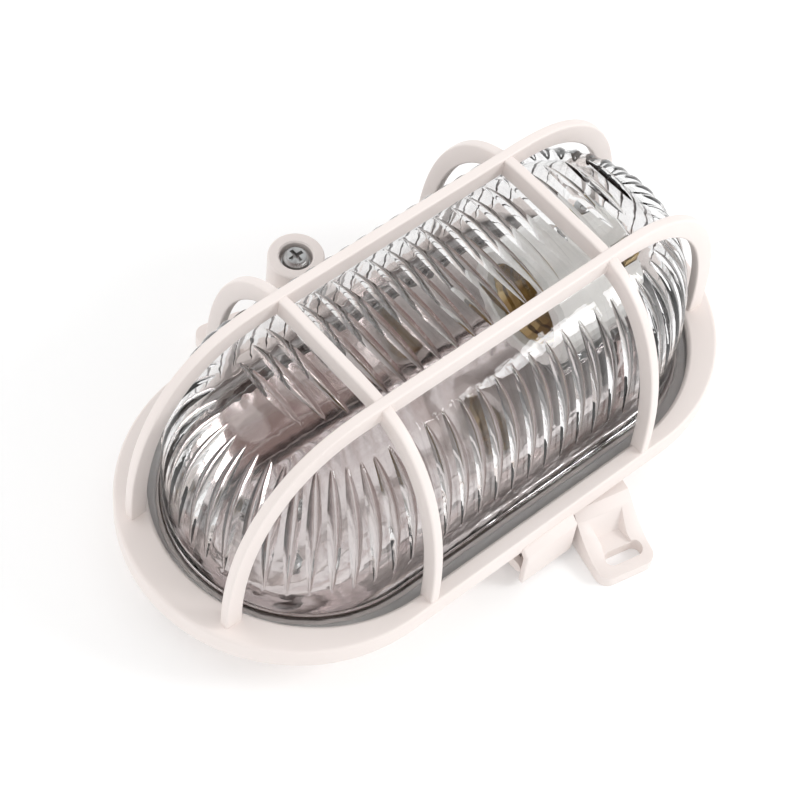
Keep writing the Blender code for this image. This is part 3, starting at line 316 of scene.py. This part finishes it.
def rolled_aluminium():
    """Bright rolled aluminium sheet, pressed to a dish: the rolling leaves fine lines along X that
    spread its reflections, and the press leaves a slight unevenness. The real lines are finer, and
    are drawn 0.6 mm apart so that they show."""
    made, tree, shader = finish("rolled_aluminium", Metallic=1.0)
    place = add(tree, "ShaderNodeTexCoord")
    along = add(tree, "ShaderNodeMapping", {
        "Vector": place.outputs["Object"], "Scale": (per_metre(60), per_metre(0.6), per_metre(0.6))})
    lines = add(tree, "ShaderNodeTexNoise", {"Vector": along, "Scale": 1.0, "Detail": 4.0})
    waves = add(tree, "ShaderNodeTexNoise", {
        "Vector": place.outputs["Object"], "Scale": per_metre(24), "Detail": 1.0})
    tint = add(tree, "ShaderNodeMix", {
        "Factor": lines, "A": linear("#e3dbda"), "B": linear("#d3c9c8")}, data_type="RGBA")
    gloss = add(tree, "ShaderNodeMapRange", {"Value": lines, "To Min": 0.06, "To Max": 0.13})
    rolled = add(tree, "ShaderNodeBump", {"Height": lines, "Strength": 0.2, "Distance": 0.01 * MM})
    pressed = add(tree, "ShaderNodeBump", {
        "Height": waves, "Strength": 0.5, "Distance": 0.15 * MM, "Normal": rolled})
    feed(tree, shader, {"Base Color": tint, "Roughness": gloss, "Normal": pressed})
    return made


def glazed_porcelain():
    """Electrical porcelain under a clear glaze: a cool white body, a wet gloss on top and the small
    orange-peel ripple of a fired glaze."""
    made, tree, shader = finish(
        "glazed_porcelain", Roughness=0.3, Coat_Weight=1.0, Coat_Roughness=0.05, Coat_IOR=1.55)
    place = add(tree, "ShaderNodeTexCoord")
    body = add(tree, "ShaderNodeTexNoise", {
        "Vector": place.outputs["Object"], "Scale": per_metre(12), "Detail": 3.0})
    tint = add(tree, "ShaderNodeMix", {
        "Factor": body, "A": linear("#fbfaf7"), "B": linear("#f3f1ec")}, data_type="RGBA")
    peel = add(tree, "ShaderNodeTexNoise", {
        "Vector": place.outputs["Object"], "Scale": per_metre(2.5), "Detail": 2.0})
    bump = add(tree, "ShaderNodeBump", {"Height": peel, "Strength": 0.2, "Distance": 0.05 * MM})
    feed(tree, shader, {"Base Color": tint, "Coat Normal": bump})
    return made


def worn_metal(name, light, dark, smooth, rough, blotch_mm):
    """A metal whose colour and gloss both drift in soft blotches, as plating and tarnish do. Its
    grit is finer in the real one, and is drawn at 0.4 mm so that it shows."""
    made, tree, shader = finish(name, Metallic=1.0)
    place = add(tree, "ShaderNodeTexCoord")
    blotch = add(tree, "ShaderNodeTexNoise", {
        "Vector": place.outputs["Object"], "Scale": per_metre(blotch_mm), "Detail": 4.0})
    tint = add(tree, "ShaderNodeMix", {
        "Factor": blotch, "A": linear(light), "B": linear(dark)}, data_type="RGBA")
    gloss = add(tree, "ShaderNodeMapRange", {"Value": blotch, "To Min": smooth, "To Max": rough})
    grit = add(tree, "ShaderNodeTexNoise", {
        "Vector": place.outputs["Object"], "Scale": per_metre(0.4), "Detail": 3.0})
    bump = add(tree, "ShaderNodeBump", {"Height": grit, "Strength": 0.2, "Distance": 0.01 * MM})
    feed(tree, shader, {"Base Color": tint, "Roughness": gloss, "Normal": bump})
    return made


def stamped_brass():
    """Brass sheet, stamped and rolled to a thread: yellow, a little tarnished in soft blotches."""
    return worn_metal("stamped_brass", "#d9c393", "#b49a69", 0.2, 0.4, 5)


def zinc_plated_steel():
    """Steel under bright zinc: cool grey, with the patchy gloss of a passivated bath."""
    return worn_metal("zinc_plated_steel", "#cfd1d0", "#a3a6a8", 0.2, 0.42, 3)


def moulded_rubber(name, light, dark):
    """Compression-moulded rubber: matt, with a fine grain and a dusty bloom in soft patches. The
    real grain is finer, and is drawn at 0.35 mm so that it shows."""
    made, tree, shader = finish(name, Roughness=0.75, IOR=1.52)
    place = add(tree, "ShaderNodeTexCoord")
    bloom = add(tree, "ShaderNodeTexNoise", {
        "Vector": place.outputs["Object"], "Scale": per_metre(7), "Detail": 4.0})
    tint = add(tree, "ShaderNodeMix", {
        "Factor": bloom, "A": linear(light), "B": linear(dark)}, data_type="RGBA")
    grain = add(tree, "ShaderNodeTexNoise", {
        "Vector": place.outputs["Object"], "Scale": per_metre(0.35), "Detail": 3.0})
    bump = add(tree, "ShaderNodeBump", {"Height": grain, "Strength": 0.4, "Distance": 0.03 * MM})
    feed(tree, shader, {"Base Color": tint, "Normal": bump})
    return made


plastic = moulded_polypropylene()
glass = pressed_glass()
aluminium = rolled_aluminium()
porcelain = glazed_porcelain()
brass = stamped_brass()
zinc = zinc_plated_steel()
seal_rubber = moulded_rubber("moulded_seal_rubber", "#e4e0de", "#d4d0ce")
grommet_rubber = moulded_rubber("moulded_grommet_rubber", "#8e8a88", "#76726f")


def piece_from(bm, name, material=None):
    """A new object from a bmesh, with its faces turned outwards."""
    bmesh.ops.remove_doubles(bm, verts=bm.verts, dist=SAME_POINT)
    bmesh.ops.recalc_face_normals(bm, faces=bm.faces)
    mesh = bpy.data.meshes.new(name)
    bm.to_mesh(mesh)
    bm.free()
    made = bpy.data.objects.new(name, mesh)
    bpy.context.scene.collection.objects.link(made)
    if material:
        mesh.materials.append(material)
    return made


def combine(target, operation, *tools):
    """Joins or cuts a closed piece with other closed pieces, which are used up."""
    for tool in tools:
        step = target.modifiers.new(operation.lower(), "BOOLEAN")
        step.operation = operation
        step.solver = "MANIFOLD"
        step.object = tool
        graph = bpy.context.evaluated_depsgraph_get()
        baked = bpy.data.meshes.new_from_object(target.evaluated_get(graph))
        target.modifiers.clear()
        target.data = baked
        bpy.data.objects.remove(tool, do_unlink=True)
    return target


def shade(piece, degrees=CRISP_ANGLE):
    """Smooth shading, with every edge sharper than the given angle kept crisp."""
    piece.data.shade_smooth()
    piece.data.set_sharp_from_angle(angle=math.radians(degrees))
    return piece


def stand_for(piece, node):
    """Puts a finely made piece in the place of its solid."""
    body = frame["nodes"][node]["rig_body"]
    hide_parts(node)
    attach(piece, body)


def eased(outline, ease):
    """A closed outline with its corners rounded. Ease is one radius or one for each corner."""
    eases = ease if isinstance(ease, list) else [ease] * len(outline)
    rounded = []
    for index, corner in enumerate(outline):
        here = Vector(corner)
        before = Vector(outline[index - 1]) - here
        after = Vector(outline[(index + 1) % len(outline)]) - here
        start = here + before.normalized() * min(eases[index], CORNER_MOST * before.length)
        stop = here + after.normalized() * min(eases[index], CORNER_MOST * after.length)
        for step in range(CORNER_STEPS + 1):
            share = step / CORNER_STEPS
            rounded.append((1 - share) ** 2 * start + 2 * share * (1 - share) * here + share**2 * stop)
    return rounded


def arc(centre, radius, start, end, steps):
    """Points on a circle from one angle to another, in degrees."""
    points = []
    for step in range(steps + 1):
        angle = math.radians(start + (end - start) * step / steps)
        points.append((centre[0] + radius * math.cos(angle), centre[1] + radius * math.sin(angle)))
    return points


def shoulder(flat, semi, base, height, squareness, steps):
    """A rounded shoulder, from its foot at flat + semi up to its flat top: a quarter of a
    superellipse."""
    points = []
    for step in range(steps + 1):
        angle = math.pi / 2 * step / steps
        run = max(math.cos(angle), 0.0) ** (2 / squareness)
        rise = math.sin(angle) ** (2 / squareness)
        points.append((flat + semi * run, base + height * rise))
    return points


def oval_ring(radius, height, reach=0.0):
    """Points once round the oval: half circles about the ends of its spine, joined by straights."""
    centre = END_CENTRE + reach
    points = []
    for end, start in ((1, -90), (-1, 90)):
        for x, y in arc((end * centre, 0), radius, start, start + 180, ARC_STEPS):
            points.append(Vector((x, y, height)))
        for step in range(1, STRAIGHT_STEPS):
            share = step / STRAIGHT_STEPS
            points.append(Vector((end * centre * (1 - 2 * share), end * radius, height)))
    return points


def loft(bm, rings, closed=False):
    """Joins rings of equally many points with bands of faces."""
    rows = [[bm.verts.new(point) for point in ring] for ring in rings]
    pairs = list(zip(rows, rows[1:]))
    if closed:
        pairs.append((rows[-1], rows[0]))
    for first, second in pairs:
        for index in range(len(first)):
            following = (index + 1) % len(first)
            bm.faces.new((first[index], first[following], second[following], second[index]))
    return rows


def oval_sweep(name, profile, closed, material):
    """Carries a profile of (radius, height) or (radius, height, reach) round the oval."""
    bm = bmesh.new()
    loft(bm, [oval_ring(*point) for point in profile], closed)
    return piece_from(bm, name, material)


def revolved(name, profile, origin, axis, steps=TURN_STEPS):
    """Turns a profile of (run along the axis, radius) once round the axis. It starts and ends on
    the axis."""
    turn = Vector((0, 0, 1)).rotation_difference(Vector(axis)).to_matrix()
    rings = []
    for run, radius in profile:
        ring = arc((0, 0), radius, 0, 360, steps)[:-1]
        rings.append([Vector(origin) + turn @ Vector((x, y, run)) for x, y in ring])
    bm = bmesh.new()
    loft(bm, rings)
    return piece_from(bm, name)


def rod(name, radius, start, end):
    """A plain closed cylinder from one point to another, for cutting."""
    start, end = Vector(start), Vector(end)
    length = (end - start).length
    profile = [(0, 0), (0, radius), (length, radius), (length, 0)]
    return revolved(name, profile, start, end - start, HOLE_STEPS)


# Placements that stand a drawn outline up: (u, v) becomes (y, z) or (x, z)
ACROSS = Matrix(((0, 0, 1, 0), (1, 0, 0, 0), (0, 1, 0, 0), (0, 0, 0, 1)))
ALONG = Matrix(((1, 0, 0, 0), (0, 0, -1, 0), (0, 1, 0, 0), (0, 0, 0, 1)))


def slab(name, outline, low, high, placement, ease):
    """An outline drawn in its own plane, made solid from low to high, with its edges rounded."""
    bm = bmesh.new()
    face = bm.faces.new([bm.verts.new((u, v, low)) for u, v in outline])
    moved = bmesh.ops.extrude_face_region(bm, geom=[face])
    top = [item for item in moved["geom"] if isinstance(item, bmesh.types.BMVert)]
    bmesh.ops.translate(bm, verts=top, vec=(0, 0, high - low))
    bmesh.ops.recalc_face_normals(bm, faces=bm.faces)
    round_edges(bm, ease)
    bmesh.ops.transform(bm, matrix=placement, verts=bm.verts)
    return piece_from(bm, name)


def round_edges(bm, ease):
    """Rounds every edge that turns by more than the angle named above."""
    sharp = [edge for edge in bm.edges if edge.calc_face_angle(0.0) > math.radians(ROUNDED_ANGLE)]
    bmesh.ops.bevel(
        bm, geom=sharp, offset=ease, segments=ROUNDED_EDGE_STEPS, profile=0.5, affect="EDGES",
        clamp_overlap=True)


def softened(node, ease, material):
    """A copy of a solid with the small edge rounding of its making, in place of the solid."""
    bm = bmesh.new()
    bm.from_mesh(frame["nodes"][node].data)
    bmesh.ops.remove_doubles(bm, verts=bm.verts, dist=SAME_POINT_IN_SOLID)
    bmesh.ops.dissolve_limit(
        bm, angle_limit=math.radians(COPLANAR_ANGLE), verts=bm.verts, edges=bm.edges, delimit={"NORMAL"})
    round_edges(bm, ease)
    stand_for(shade(piece_from(bm, node + "_fine", material)), node)


def blade(name, flat, foot_out, foot_in, placement):
    """One blade of the cage: an arch from rim to rim with rounded edges."""
    base = rim_top - BLADE_SINK
    crown = cage_high.z - base
    foot = rim_underside + FIT
    outer = shoulder(flat, foot_out - flat, base, crown, BLADE_SQUARENESS, BLADE_STEPS)
    inner = shoulder(flat, foot_in - flat, base, crown - BLADE_DEPTH, BLADE_SQUARENESS, BLADE_STEPS)
    half = [((foot_out, foot), (foot_in, foot)), *zip(outer, inner)]
    other = [((-far[0], far[1]), (-near[0], near[1])) for far, near in reversed(half)]
    side = BLADE_THICKNESS / 2
    rings = []
    for far, near in half + other:
        far, near = Vector(far), Vector(near)
        depth = (near - far).length
        inward = (near - far).normalized()
        section = eased([(0, -side), (0, side), (depth, side), (depth, -side)], BLADE_ROUND)
        ring = []
        for run, width in section:
            spot = far + inward * run
            ring.append(placement @ Vector((spot.x, spot.y, width)))
        rings.append(ring)
    bm = bmesh.new()
    rows = loft(bm, rings)
    bm.faces.new(rows[0])
    bm.faces.new(rows[-1])
    return piece_from(bm, name)


def rim_ring():
    """The rim with a soft outer edge, nearly twice as wide at its ends as along its sides."""
    outline = [
        (rim_inner, rim_top - RIM_DISH, -RIM_END_INSET),
        (rim_inner, rim_underside, -RIM_END_INSET),
        (skirt_inner, rim_underside, END_REACH),
        (skirt_inner, rim_bottom, END_REACH),
        (rim_radius, rim_bottom, END_REACH),
        (rim_radius, rim_top, END_REACH),
        (rim_inner + RIM_DISH, rim_top, -RIM_END_INSET),
    ]
    eases = [
        RIM_INNER_ROUND, RIM_INNER_ROUND, SKIRT_INNER_ROUND, SKIRT_ROUND, SKIRT_ROUND, RIM_ROUND,
        EDGE_ROUND]
    return oval_sweep("cage", eased(outline, eases), True, plastic)


def cage_blades():
    """The two hoops across the lamp and the two bars along it."""
    foot_out = rim_radius - BLADE_SET_IN
    foot_in = foot_out - BLADE_FOOT_DEPTH
    reach_out = END_CENTRE + math.sqrt(foot_out**2 - BAR_PLACE**2)
    reach_in = END_CENTRE + math.sqrt(foot_in**2 - BAR_PLACE**2)
    blades = []
    for side in (1, -1):
        across = Matrix.Translation((side * HOOP_PLACE, 0, 0)) @ ACROSS
        blades.append(blade("hoop", HOOP_FLAT, foot_out, foot_in, across))
        along = Matrix.Translation((0, side * BAR_PLACE, 0)) @ ALONG
        blades.append(blade("bar", END_CENTRE, reach_out, reach_in, along))
    return blades


def joint_place(name):
    """Where the frame has a joint at rest."""
    joint = next(joint for joint in frame["joints"] if joint["name"] == name)
    return Vector(joint["pos_m"])


def hook():
    """The hinge's plate, and the curl behind it that turns round the base's bar."""
    _, hinge_y, hinge_z = joint_place("cover_hinge")
    outside = HOOK_INSIDE + HOOK_THICKNESS
    root_in = RIM_WALL / 2 - rim_radius
    plate = [
        (hinge_y - HOOK_INSIDE, rim_bottom - RIM_WALL),
        (root_in, rim_bottom + FIT),
        (root_in, rim_bottom + RIM_WALL),
        (-rim_radius - FIT, rim_bottom + RIM_WALL),
        (hinge_y - outside, rim_bottom - FIT),
        (hinge_y - outside, hinge_z - HOOK_DROP),
        (hinge_y - HOOK_INSIDE, hinge_z - HOOK_DROP),
    ]
    curl = [(hinge_y - HOOK_INSIDE, hinge_z + HOOK_DROP), (hinge_y - outside, hinge_z + HOOK_DROP)]
    curl += arc((hinge_y, hinge_z), outside, CURL_START, CURL_END, CURL_STEPS)
    curl += arc((hinge_y, hinge_z), HOOK_INSIDE, CURL_END, CURL_START, CURL_STEPS)
    return [
        slab("hook_plate", plate, HOOK_FROM, HOOK_TO, ACROSS, EDGE_ROUND),
        slab("hook_curl", curl, CURL_FROM, CURL_TO, ACROSS, CURL_ROUND),
    ]


def screw_lug(place, height):
    """The collar for the closing screw, with a soft rim, and the bridge that ties it to the cage."""
    corners = [(0, 0), (0, LUG_RADIUS), (height, LUG_RADIUS), (height, 0)]
    profile = eased(corners, [0, LUG_ROUND, LUG_ROUND, 0])
    root = rim_radius - RIM_WALL / 2
    outline = [(-LUG_RADIUS, root), (LUG_RADIUS, root), (LUG_RADIUS, place.y), (-LUG_RADIUS, place.y)]
    top = rim_bottom + LUG_WEB_HEIGHT
    return [
        revolved("collar", profile, place, (0, 0, 1)),
        slab("bridge", outline, rim_bottom, top, Matrix.Identity(4), LUG_WEB_ROUND),
    ]


def screw_well(place, height):
    """What is cut out of the lug: a well for the screw's head, chamfered at its mouth, and a hole."""
    mouth = [
        (LUG_FLOOR, 0),
        (LUG_FLOOR, COUNTERBORE_RADIUS),
        (height - EDGE_ROUND, COUNTERBORE_RADIUS),
        (height + EDGE_ROUND, COUNTERBORE_RADIUS + 2 * EDGE_ROUND),
        (height + EDGE_ROUND, 0),
    ]
    under = place - Vector((0, 0, LUG_FLOOR))
    over = place + Vector((0, 0, height + LUG_FLOOR))
    return [
        revolved("counterbore", mouth, place, (0, 0, 1)),
        rod("through", SCREW_HOLE_RADIUS, under, over),
    ]


def cage():
    """The whole cage in one moulding: rim, blades, hook and lug."""
    screw = joint_place("screw_turn")
    place = Vector((0, screw.y, rim_bottom))
    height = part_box("closing_screw")[1].z - rim_bottom
    made = combine(rim_ring(), "UNION", *cage_blades(), *hook(), *screw_lug(place, height))
    combine(made, "DIFFERENCE", *screw_well(place, height))
    stand_for(shade(made), "grille")


def glass_section(inset):
    """The dome's section from the flange up to the spine, moved in by inset."""
    radius = glass_radius - inset
    height = glass_height - inset
    return shoulder(0, radius, flange_top, height, GLASS_SQUARENESS, GLASS_STEPS)


def glass_shell():
    """The dome and its flange without the ribs, a closed shell with a real wall."""
    inner = glass_section(GLASS_WALL)
    foot_centre = (glass_radius + GLASS_FOOT, flange_top + GLASS_FOOT)
    foot = arc(foot_centre, GLASS_FOOT, 270, 180, GLASS_FOOT_STEPS)
    flange = [
        (glass_radius - GLASS_WALL, flange_bottom),
        (flange_radius - FLANGE_ROUND, flange_bottom, END_REACH),
        (flange_radius, flange_bottom + FLANGE_ROUND, END_REACH),
        (flange_radius, flange_top - FLANGE_ROUND, END_REACH),
        (flange_radius - FLANGE_ROUND, flange_top, END_REACH),
    ]
    outer = [point for point in glass_section(0) if point[1] > flange_top + GLASS_FOOT]
    return oval_sweep("ribbed_glass", inner[::-1] + flange + foot + outer, False, glass)


def glass_point(share, spot, direction):
    """A point on the dome's outer face, its outward normal and the direction along the wall. Share
    runs from 0 at the flange to 1 at the spine."""
    def at(value):
        angle = math.pi / 2 * min(max(value, 0.0), 1.0)
        radius = glass_radius * max(math.cos(angle), 0.0) ** (2 / GLASS_SQUARENESS)
        height = flange_top + glass_height * math.sin(angle) ** (2 / GLASS_SQUARENESS)
        return spot + direction * radius + Vector((0, 0, height))

    slope = (at(share + SLOPE_STEP) - at(share - SLOPE_STEP)).normalized()
    side = Vector((0, 0, 1)).cross(direction)
    return at(share), side.cross(slope).normalized(), side


def rib(bm, stations):
    """A spindle with a sharp ridge and pointed ends, lofted along its stations."""
    last = len(stations) - 1
    rings = []
    for step, (centre, normal, side) in enumerate(stations[1:-1], 1):
        swell = math.sin(math.pi * step / last) ** RIB_SWELL
        reach = RIB_HALF_WIDTH * swell
        section = [(-RIB_ROOT_WIDTH, -RIB_ROOT), (RIB_ROOT_WIDTH, -RIB_ROOT)]
        for place in range(RIB_SECTION_STEPS + 1):
            out = 1 - 2 * place / RIB_SECTION_STEPS
            rise = RIB_RISE * swell * (1 - abs(out) ** RIB_SHARPNESS)
            section.append((out, rise - RIB_EDGE_SINK))
        rings.append([centre + side * (reach * out) + normal * rise for out, rise in section])
    rows = loft(bm, rings)
    for row, (centre, normal, _) in ((rows[0], stations[0]), (rows[-1], stations[-1])):
        tip = bm.verts.new(centre - normal * RIB_TIP_DEPTH)
        for index in range(len(row)):
            bm.faces.new((row[index], row[(index + 1) % len(row)], tip))


def side_rib_places():
    """Spot on the spine and outward direction of each rib, evenly round the oval."""
    straight = 2 * END_CENTRE
    bend = math.pi * glass_radius
    count = int(2 * (straight + bend) / RIB_PITCH)
    places = []
    for step in range(count):
        run = (step + 0.5) * 2 * (straight + bend) / count
        end = 1 if run < straight + bend else -1
        run %= straight + bend
        if run < straight:
            spot = Vector((end * (run - END_CENTRE), 0, 0))
            places.append((spot, Vector((0, -end, 0))))
        else:
            angle = (run - straight) / glass_radius - math.pi / 2
            spot = Vector((end * END_CENTRE, 0, 0))
            places.append((spot, Vector((end * math.cos(angle), end * math.sin(angle), 0))))
    return places


def side_ribs():
    """The ribs that stand up round the dome's wall."""
    bm = bmesh.new()
    for spot, direction in side_rib_places():
        stations = []
        for step in range(RIB_STATIONS):
            share = SIDE_RIB_FROM + (SIDE_RIB_TO - SIDE_RIB_FROM) * step / (RIB_STATIONS - 1)
            stations.append(glass_point(share, spot, direction))
        rib(bm, stations)
    return piece_from(bm, "side_ribs")


def crown_point(x, y):
    """Point, normal and side direction on the crown, from the oval's distance to the spine."""
    past = max(abs(x) - END_CENTRE, 0.0)
    out = Vector((math.copysign(past, x), y, 0))
    distance = max(out.length, NEAR_SPINE)
    direction = out.normalized() if out.length > NEAR_SPINE else Vector((0, 1, 0))
    share = 2 / math.pi * math.acos(min((distance / glass_radius) ** (GLASS_SQUARENESS / 2), 1.0))
    point, normal, _ = glass_point(min(share, LAST_SHARE), Vector((x, y, 0)) - out, direction)
    return point, normal, Vector((1, 0, 0))


def crown_ribs():
    """The ribs that lie across the dome's crown, shorter towards its ends."""
    bm = bmesh.new()
    for step in range(-TOP_RIBS_EACH_WAY, TOP_RIBS_EACH_WAY + 1):
        x = TOP_PATTERN_X + step * RIB_PITCH
        half = TOP_RIB_HALF_LENGTH - TOP_RIB_SHRINK * max(abs(x) - HOOP_PLACE, 0.0)
        stations = []
        for place in range(RIB_STATIONS):
            y = TOP_PATTERN_Y - half + 2 * half * place / (RIB_STATIONS - 1)
            stations.append(crown_point(x, y))
        rib(bm, stations)
    return piece_from(bm, "crown_ribs")


def glass_cover():
    """The glass in one piece with its ribs."""
    made = combine(glass_shell(), "UNION", side_ribs(), crown_ribs())
    stand_for(shade(made, GLASS_CRISP_ANGLE), "glass_cover")


def dish_section(lift):
    """Flat floor, soft bend and straight slope of the dish, for the face that lies lift above its
    underside. The floor reaches further at the ends, where the slope is steeper."""
    low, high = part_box("reflector")
    radius = REFLECTOR_BEND - lift
    centre = low.z + REFLECTOR_BEND
    edge = high.x - END_CENTRE - lift * math.sin(REFLECTOR_SLOPE)
    points = [(0, low.z + lift)]
    for step in range(REFLECTOR_BEND_STEPS + 1):
        share = step / REFLECTOR_BEND_STEPS
        angle = REFLECTOR_SLOPE * share
        reach = REFLECTOR_END_REACH + (REFLECTOR_BEND_REACH - REFLECTOR_END_REACH) * share
        points.append((REFLECTOR_FLAT + radius * math.sin(angle), centre - radius * math.cos(angle), reach))
    rise = (edge - points[-1][0]) * math.tan(REFLECTOR_SLOPE)
    points.append((edge, points[-1][1] + rise, 0))
    return points


def reflector():
    """The pressed dish, with the holes for its screws, the bracket's screws and the supply wires."""
    section = dish_section(0) + dish_section(REFLECTOR_SHEET)[::-1]
    dish = oval_sweep("reflector_dish", section, False, aluminium)
    holes = [(END_CENTRE + WIRE_HOLE_OUT, WIRE_HOLE_Y, WIRE_HOLE_RADIUS)]
    for node in ("reflector_screw_1", "reflector_screw_2", "bracket_screw_1", "bracket_screw_2"):
        low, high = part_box(node)
        holes.append(((low.x + high.x) / 2, (low.y + high.y) / 2, SMALL_HOLE_RADIUS))
    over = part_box("reflector")[1].z + FIT
    for x, y, radius in holes:
        combine(dish, "DIFFERENCE", rod("hole", radius, (x, y, 0), (x, y, over)))
    stand_for(shade(dish), "reflector")


def dress(node, material):
    """Gives a solid that stays as it is its finish."""
    slots = frame["nodes"][node].data.materials
    slots.clear()
    slots.append(material)


def camera():
    """The photograph's viewing angle: from the hinge side and the left, well above the lamp."""
    outward = Vector((math.sin(CAMERA_AZIMUTH), -math.cos(CAMERA_AZIMUTH), 0))
    back = outward * math.cos(CAMERA_ELEVATION) + Vector((0, 0, math.sin(CAMERA_ELEVATION)))
    level = Vector((math.cos(CAMERA_AZIMUTH), math.sin(CAMERA_AZIMUTH), 0))
    right = math.cos(CAMERA_ROLL) * level + math.sin(CAMERA_ROLL) * back.cross(level)
    up = back.cross(right)
    lens = bpy.data.cameras.new("camera")
    lens.sensor_width = SENSOR_MM
    lens.lens = FOCAL_PIXELS * SENSOR_MM / FRAME_PIXELS
    lens.shift_x = (FRAME_PIXELS / 2 - CENTRE_X_PIXELS) / FRAME_PIXELS
    lens.shift_y = (CENTRE_Y_PIXELS - FRAME_PIXELS / 2) / FRAME_PIXELS
    made = bpy.data.objects.new("camera", lens)
    place = Matrix((right, up, back)).transposed().to_4x4()
    place.translation = back * CAMERA_DISTANCE + Vector((0, 0, CAMERA_AIM_HEIGHT))
    made.matrix_world = place
    bpy.context.scene.collection.objects.link(made)
    bpy.context.scene.camera = made


def mirrored_and_seen(tree):
    """Two switches. The first is one for a ray that metal or glass sent straight from the camera, and
    the second also for the camera's own rays. Both are nought for the light on matt surfaces."""
    rays = add(tree, "ShaderNodeLightPath")
    bent = add(tree, "ShaderNodeMath", {
        0: rays.outputs["Is Glossy Ray"], 1: rays.outputs["Is Transmission Ray"]}, operation="MAXIMUM")
    first = add(tree, "ShaderNodeMath", {
        0: 1.0, 1: rays.outputs["Diffuse Depth"]}, operation="SUBTRACT", use_clamp=True)
    mirrored = add(tree, "ShaderNodeMath", {0: bent, 1: first}, operation="MULTIPLY")
    seen = add(tree, "ShaderNodeMath", {
        0: rays.outputs["Is Camera Ray"], 1: mirrored}, operation="MAXIMUM")
    return mirrored, seen


def soft_patch(tree, towards, fade_from, fade_to):
    """One inside a round place in the room, nought outside it, with a soft edge between."""
    place = add(tree, "ShaderNodeTexCoord")
    facing = add(tree, "ShaderNodeVectorMath", {
        0: place.outputs["Generated"], 1: Vector(towards).normalized()}, operation="DOT_PRODUCT")
    return add(tree, "ShaderNodeMapRange", {
        "Value": facing, "From Min": math.cos(math.radians(fade_to)),
        "From Max": math.cos(math.radians(fade_from))}, interpolation_type="SMOOTHSTEP")


def surroundings():
    """A white room with soft dark places, which metal and glass mirror as dark bands and edges."""
    world = bpy.data.worlds.new("white_room")
    world.use_nodes = True
    tree = world.node_tree
    ceiling = add(tree, "ShaderNodeMath", {
        0: soft_patch(tree, *CEILING), 1: CEILING_DEPTH}, operation="MULTIPLY")
    places = add(tree, "ShaderNodeMath", {
        0: soft_patch(tree, *OVERHEAD), 1: soft_patch(tree, *BESIDE)}, operation="MAXIMUM")
    places = add(tree, "ShaderNodeMath", {0: places, 1: ceiling}, operation="MAXIMUM")
    places = add(tree, "ShaderNodeMath", {
        0: places, 1: soft_patch(tree, *WINDOW)}, operation="SUBTRACT", use_clamp=True)
    mirrored, seen = mirrored_and_seen(tree)
    dark = add(tree, "ShaderNodeMath", {0: places, 1: mirrored}, operation="MULTIPLY")
    tint = add(tree, "ShaderNodeValToRGB", {"Fac": dark})
    steps = tint.color_ramp.elements
    while len(steps) < len(ROOM_TINTS):
        steps.new(1.0)
    for step, (place, colour) in zip(steps, ROOM_TINTS):
        step.position = place
        step.color = linear(colour)
    level = add(tree, "ShaderNodeMapRange", {
        "Value": seen, "To Min": MATT_LIGHT, "To Max": SEEN_LIGHT})
    feed(tree, tree.nodes["Background"], {"Color": tint, "Strength": level})
    bpy.context.scene.world = world


def soft_lamp(name, place, width, power):
    """A round soft lamp that faces the object."""
    lamp = bpy.data.lights.new(name, "AREA")
    lamp.shape = "DISK"
    lamp.size = width
    lamp.energy = power
    made = bpy.data.objects.new(name, lamp)
    made.location = place
    aim = Vector(LAMP_AIM) - made.location
    made.rotation_euler = aim.to_track_quat("-Z", "Y").to_euler()
    bpy.context.scene.collection.objects.link(made)


def floor():
    """A pale floor that goes to white where no shadow falls on it."""
    made, _, _ = finish(
        "white_floor", Base_Color=linear("#f4f4f4"), Roughness=1.0, Specular_IOR_Level=0.0,
        Emission_Color=linear("#ffffff"), Emission_Strength=FLOOR_GLOW)
    bm = bmesh.new()
    bmesh.ops.create_grid(bm, x_segments=1, y_segments=1, size=FLOOR_HALF_WIDTH)
    ground = piece_from(bm, "floor", made)
    ground.location.z = -FLOOR_GAP


camera()
surroundings()
soft_lamp("fill", *FILL_LAMP)
soft_lamp("key", *KEY_LAMP)
floor()
cage()
glass_cover()
reflector()
softened("base_tray", TRAY_ROUND, plastic)
dress("gasket", seal_rubber)
dress("lampholder_body", porcelain)
for node in ("thread_shell", "centre_contact", "side_contact"):
    dress(node, brass)
for node in ("terminal_clamp_1", "terminal_clamp_2"):
    softened(node, TERMINAL_ROUND, brass)
for node in ("cable_grommet_1", "cable_grommet_2"):
    dress(node, grommet_rubber)
softened("holder_bracket", BRACKET_ROUND, zinc)
softened("closing_screw", SCREW_ROUND, zinc)
for node in frame["nodes"]:
    if "screw" in node and node != "closing_screw":
        dress(node, zinc)

bpy.context.scene.view_settings.view_transform = "Standard"
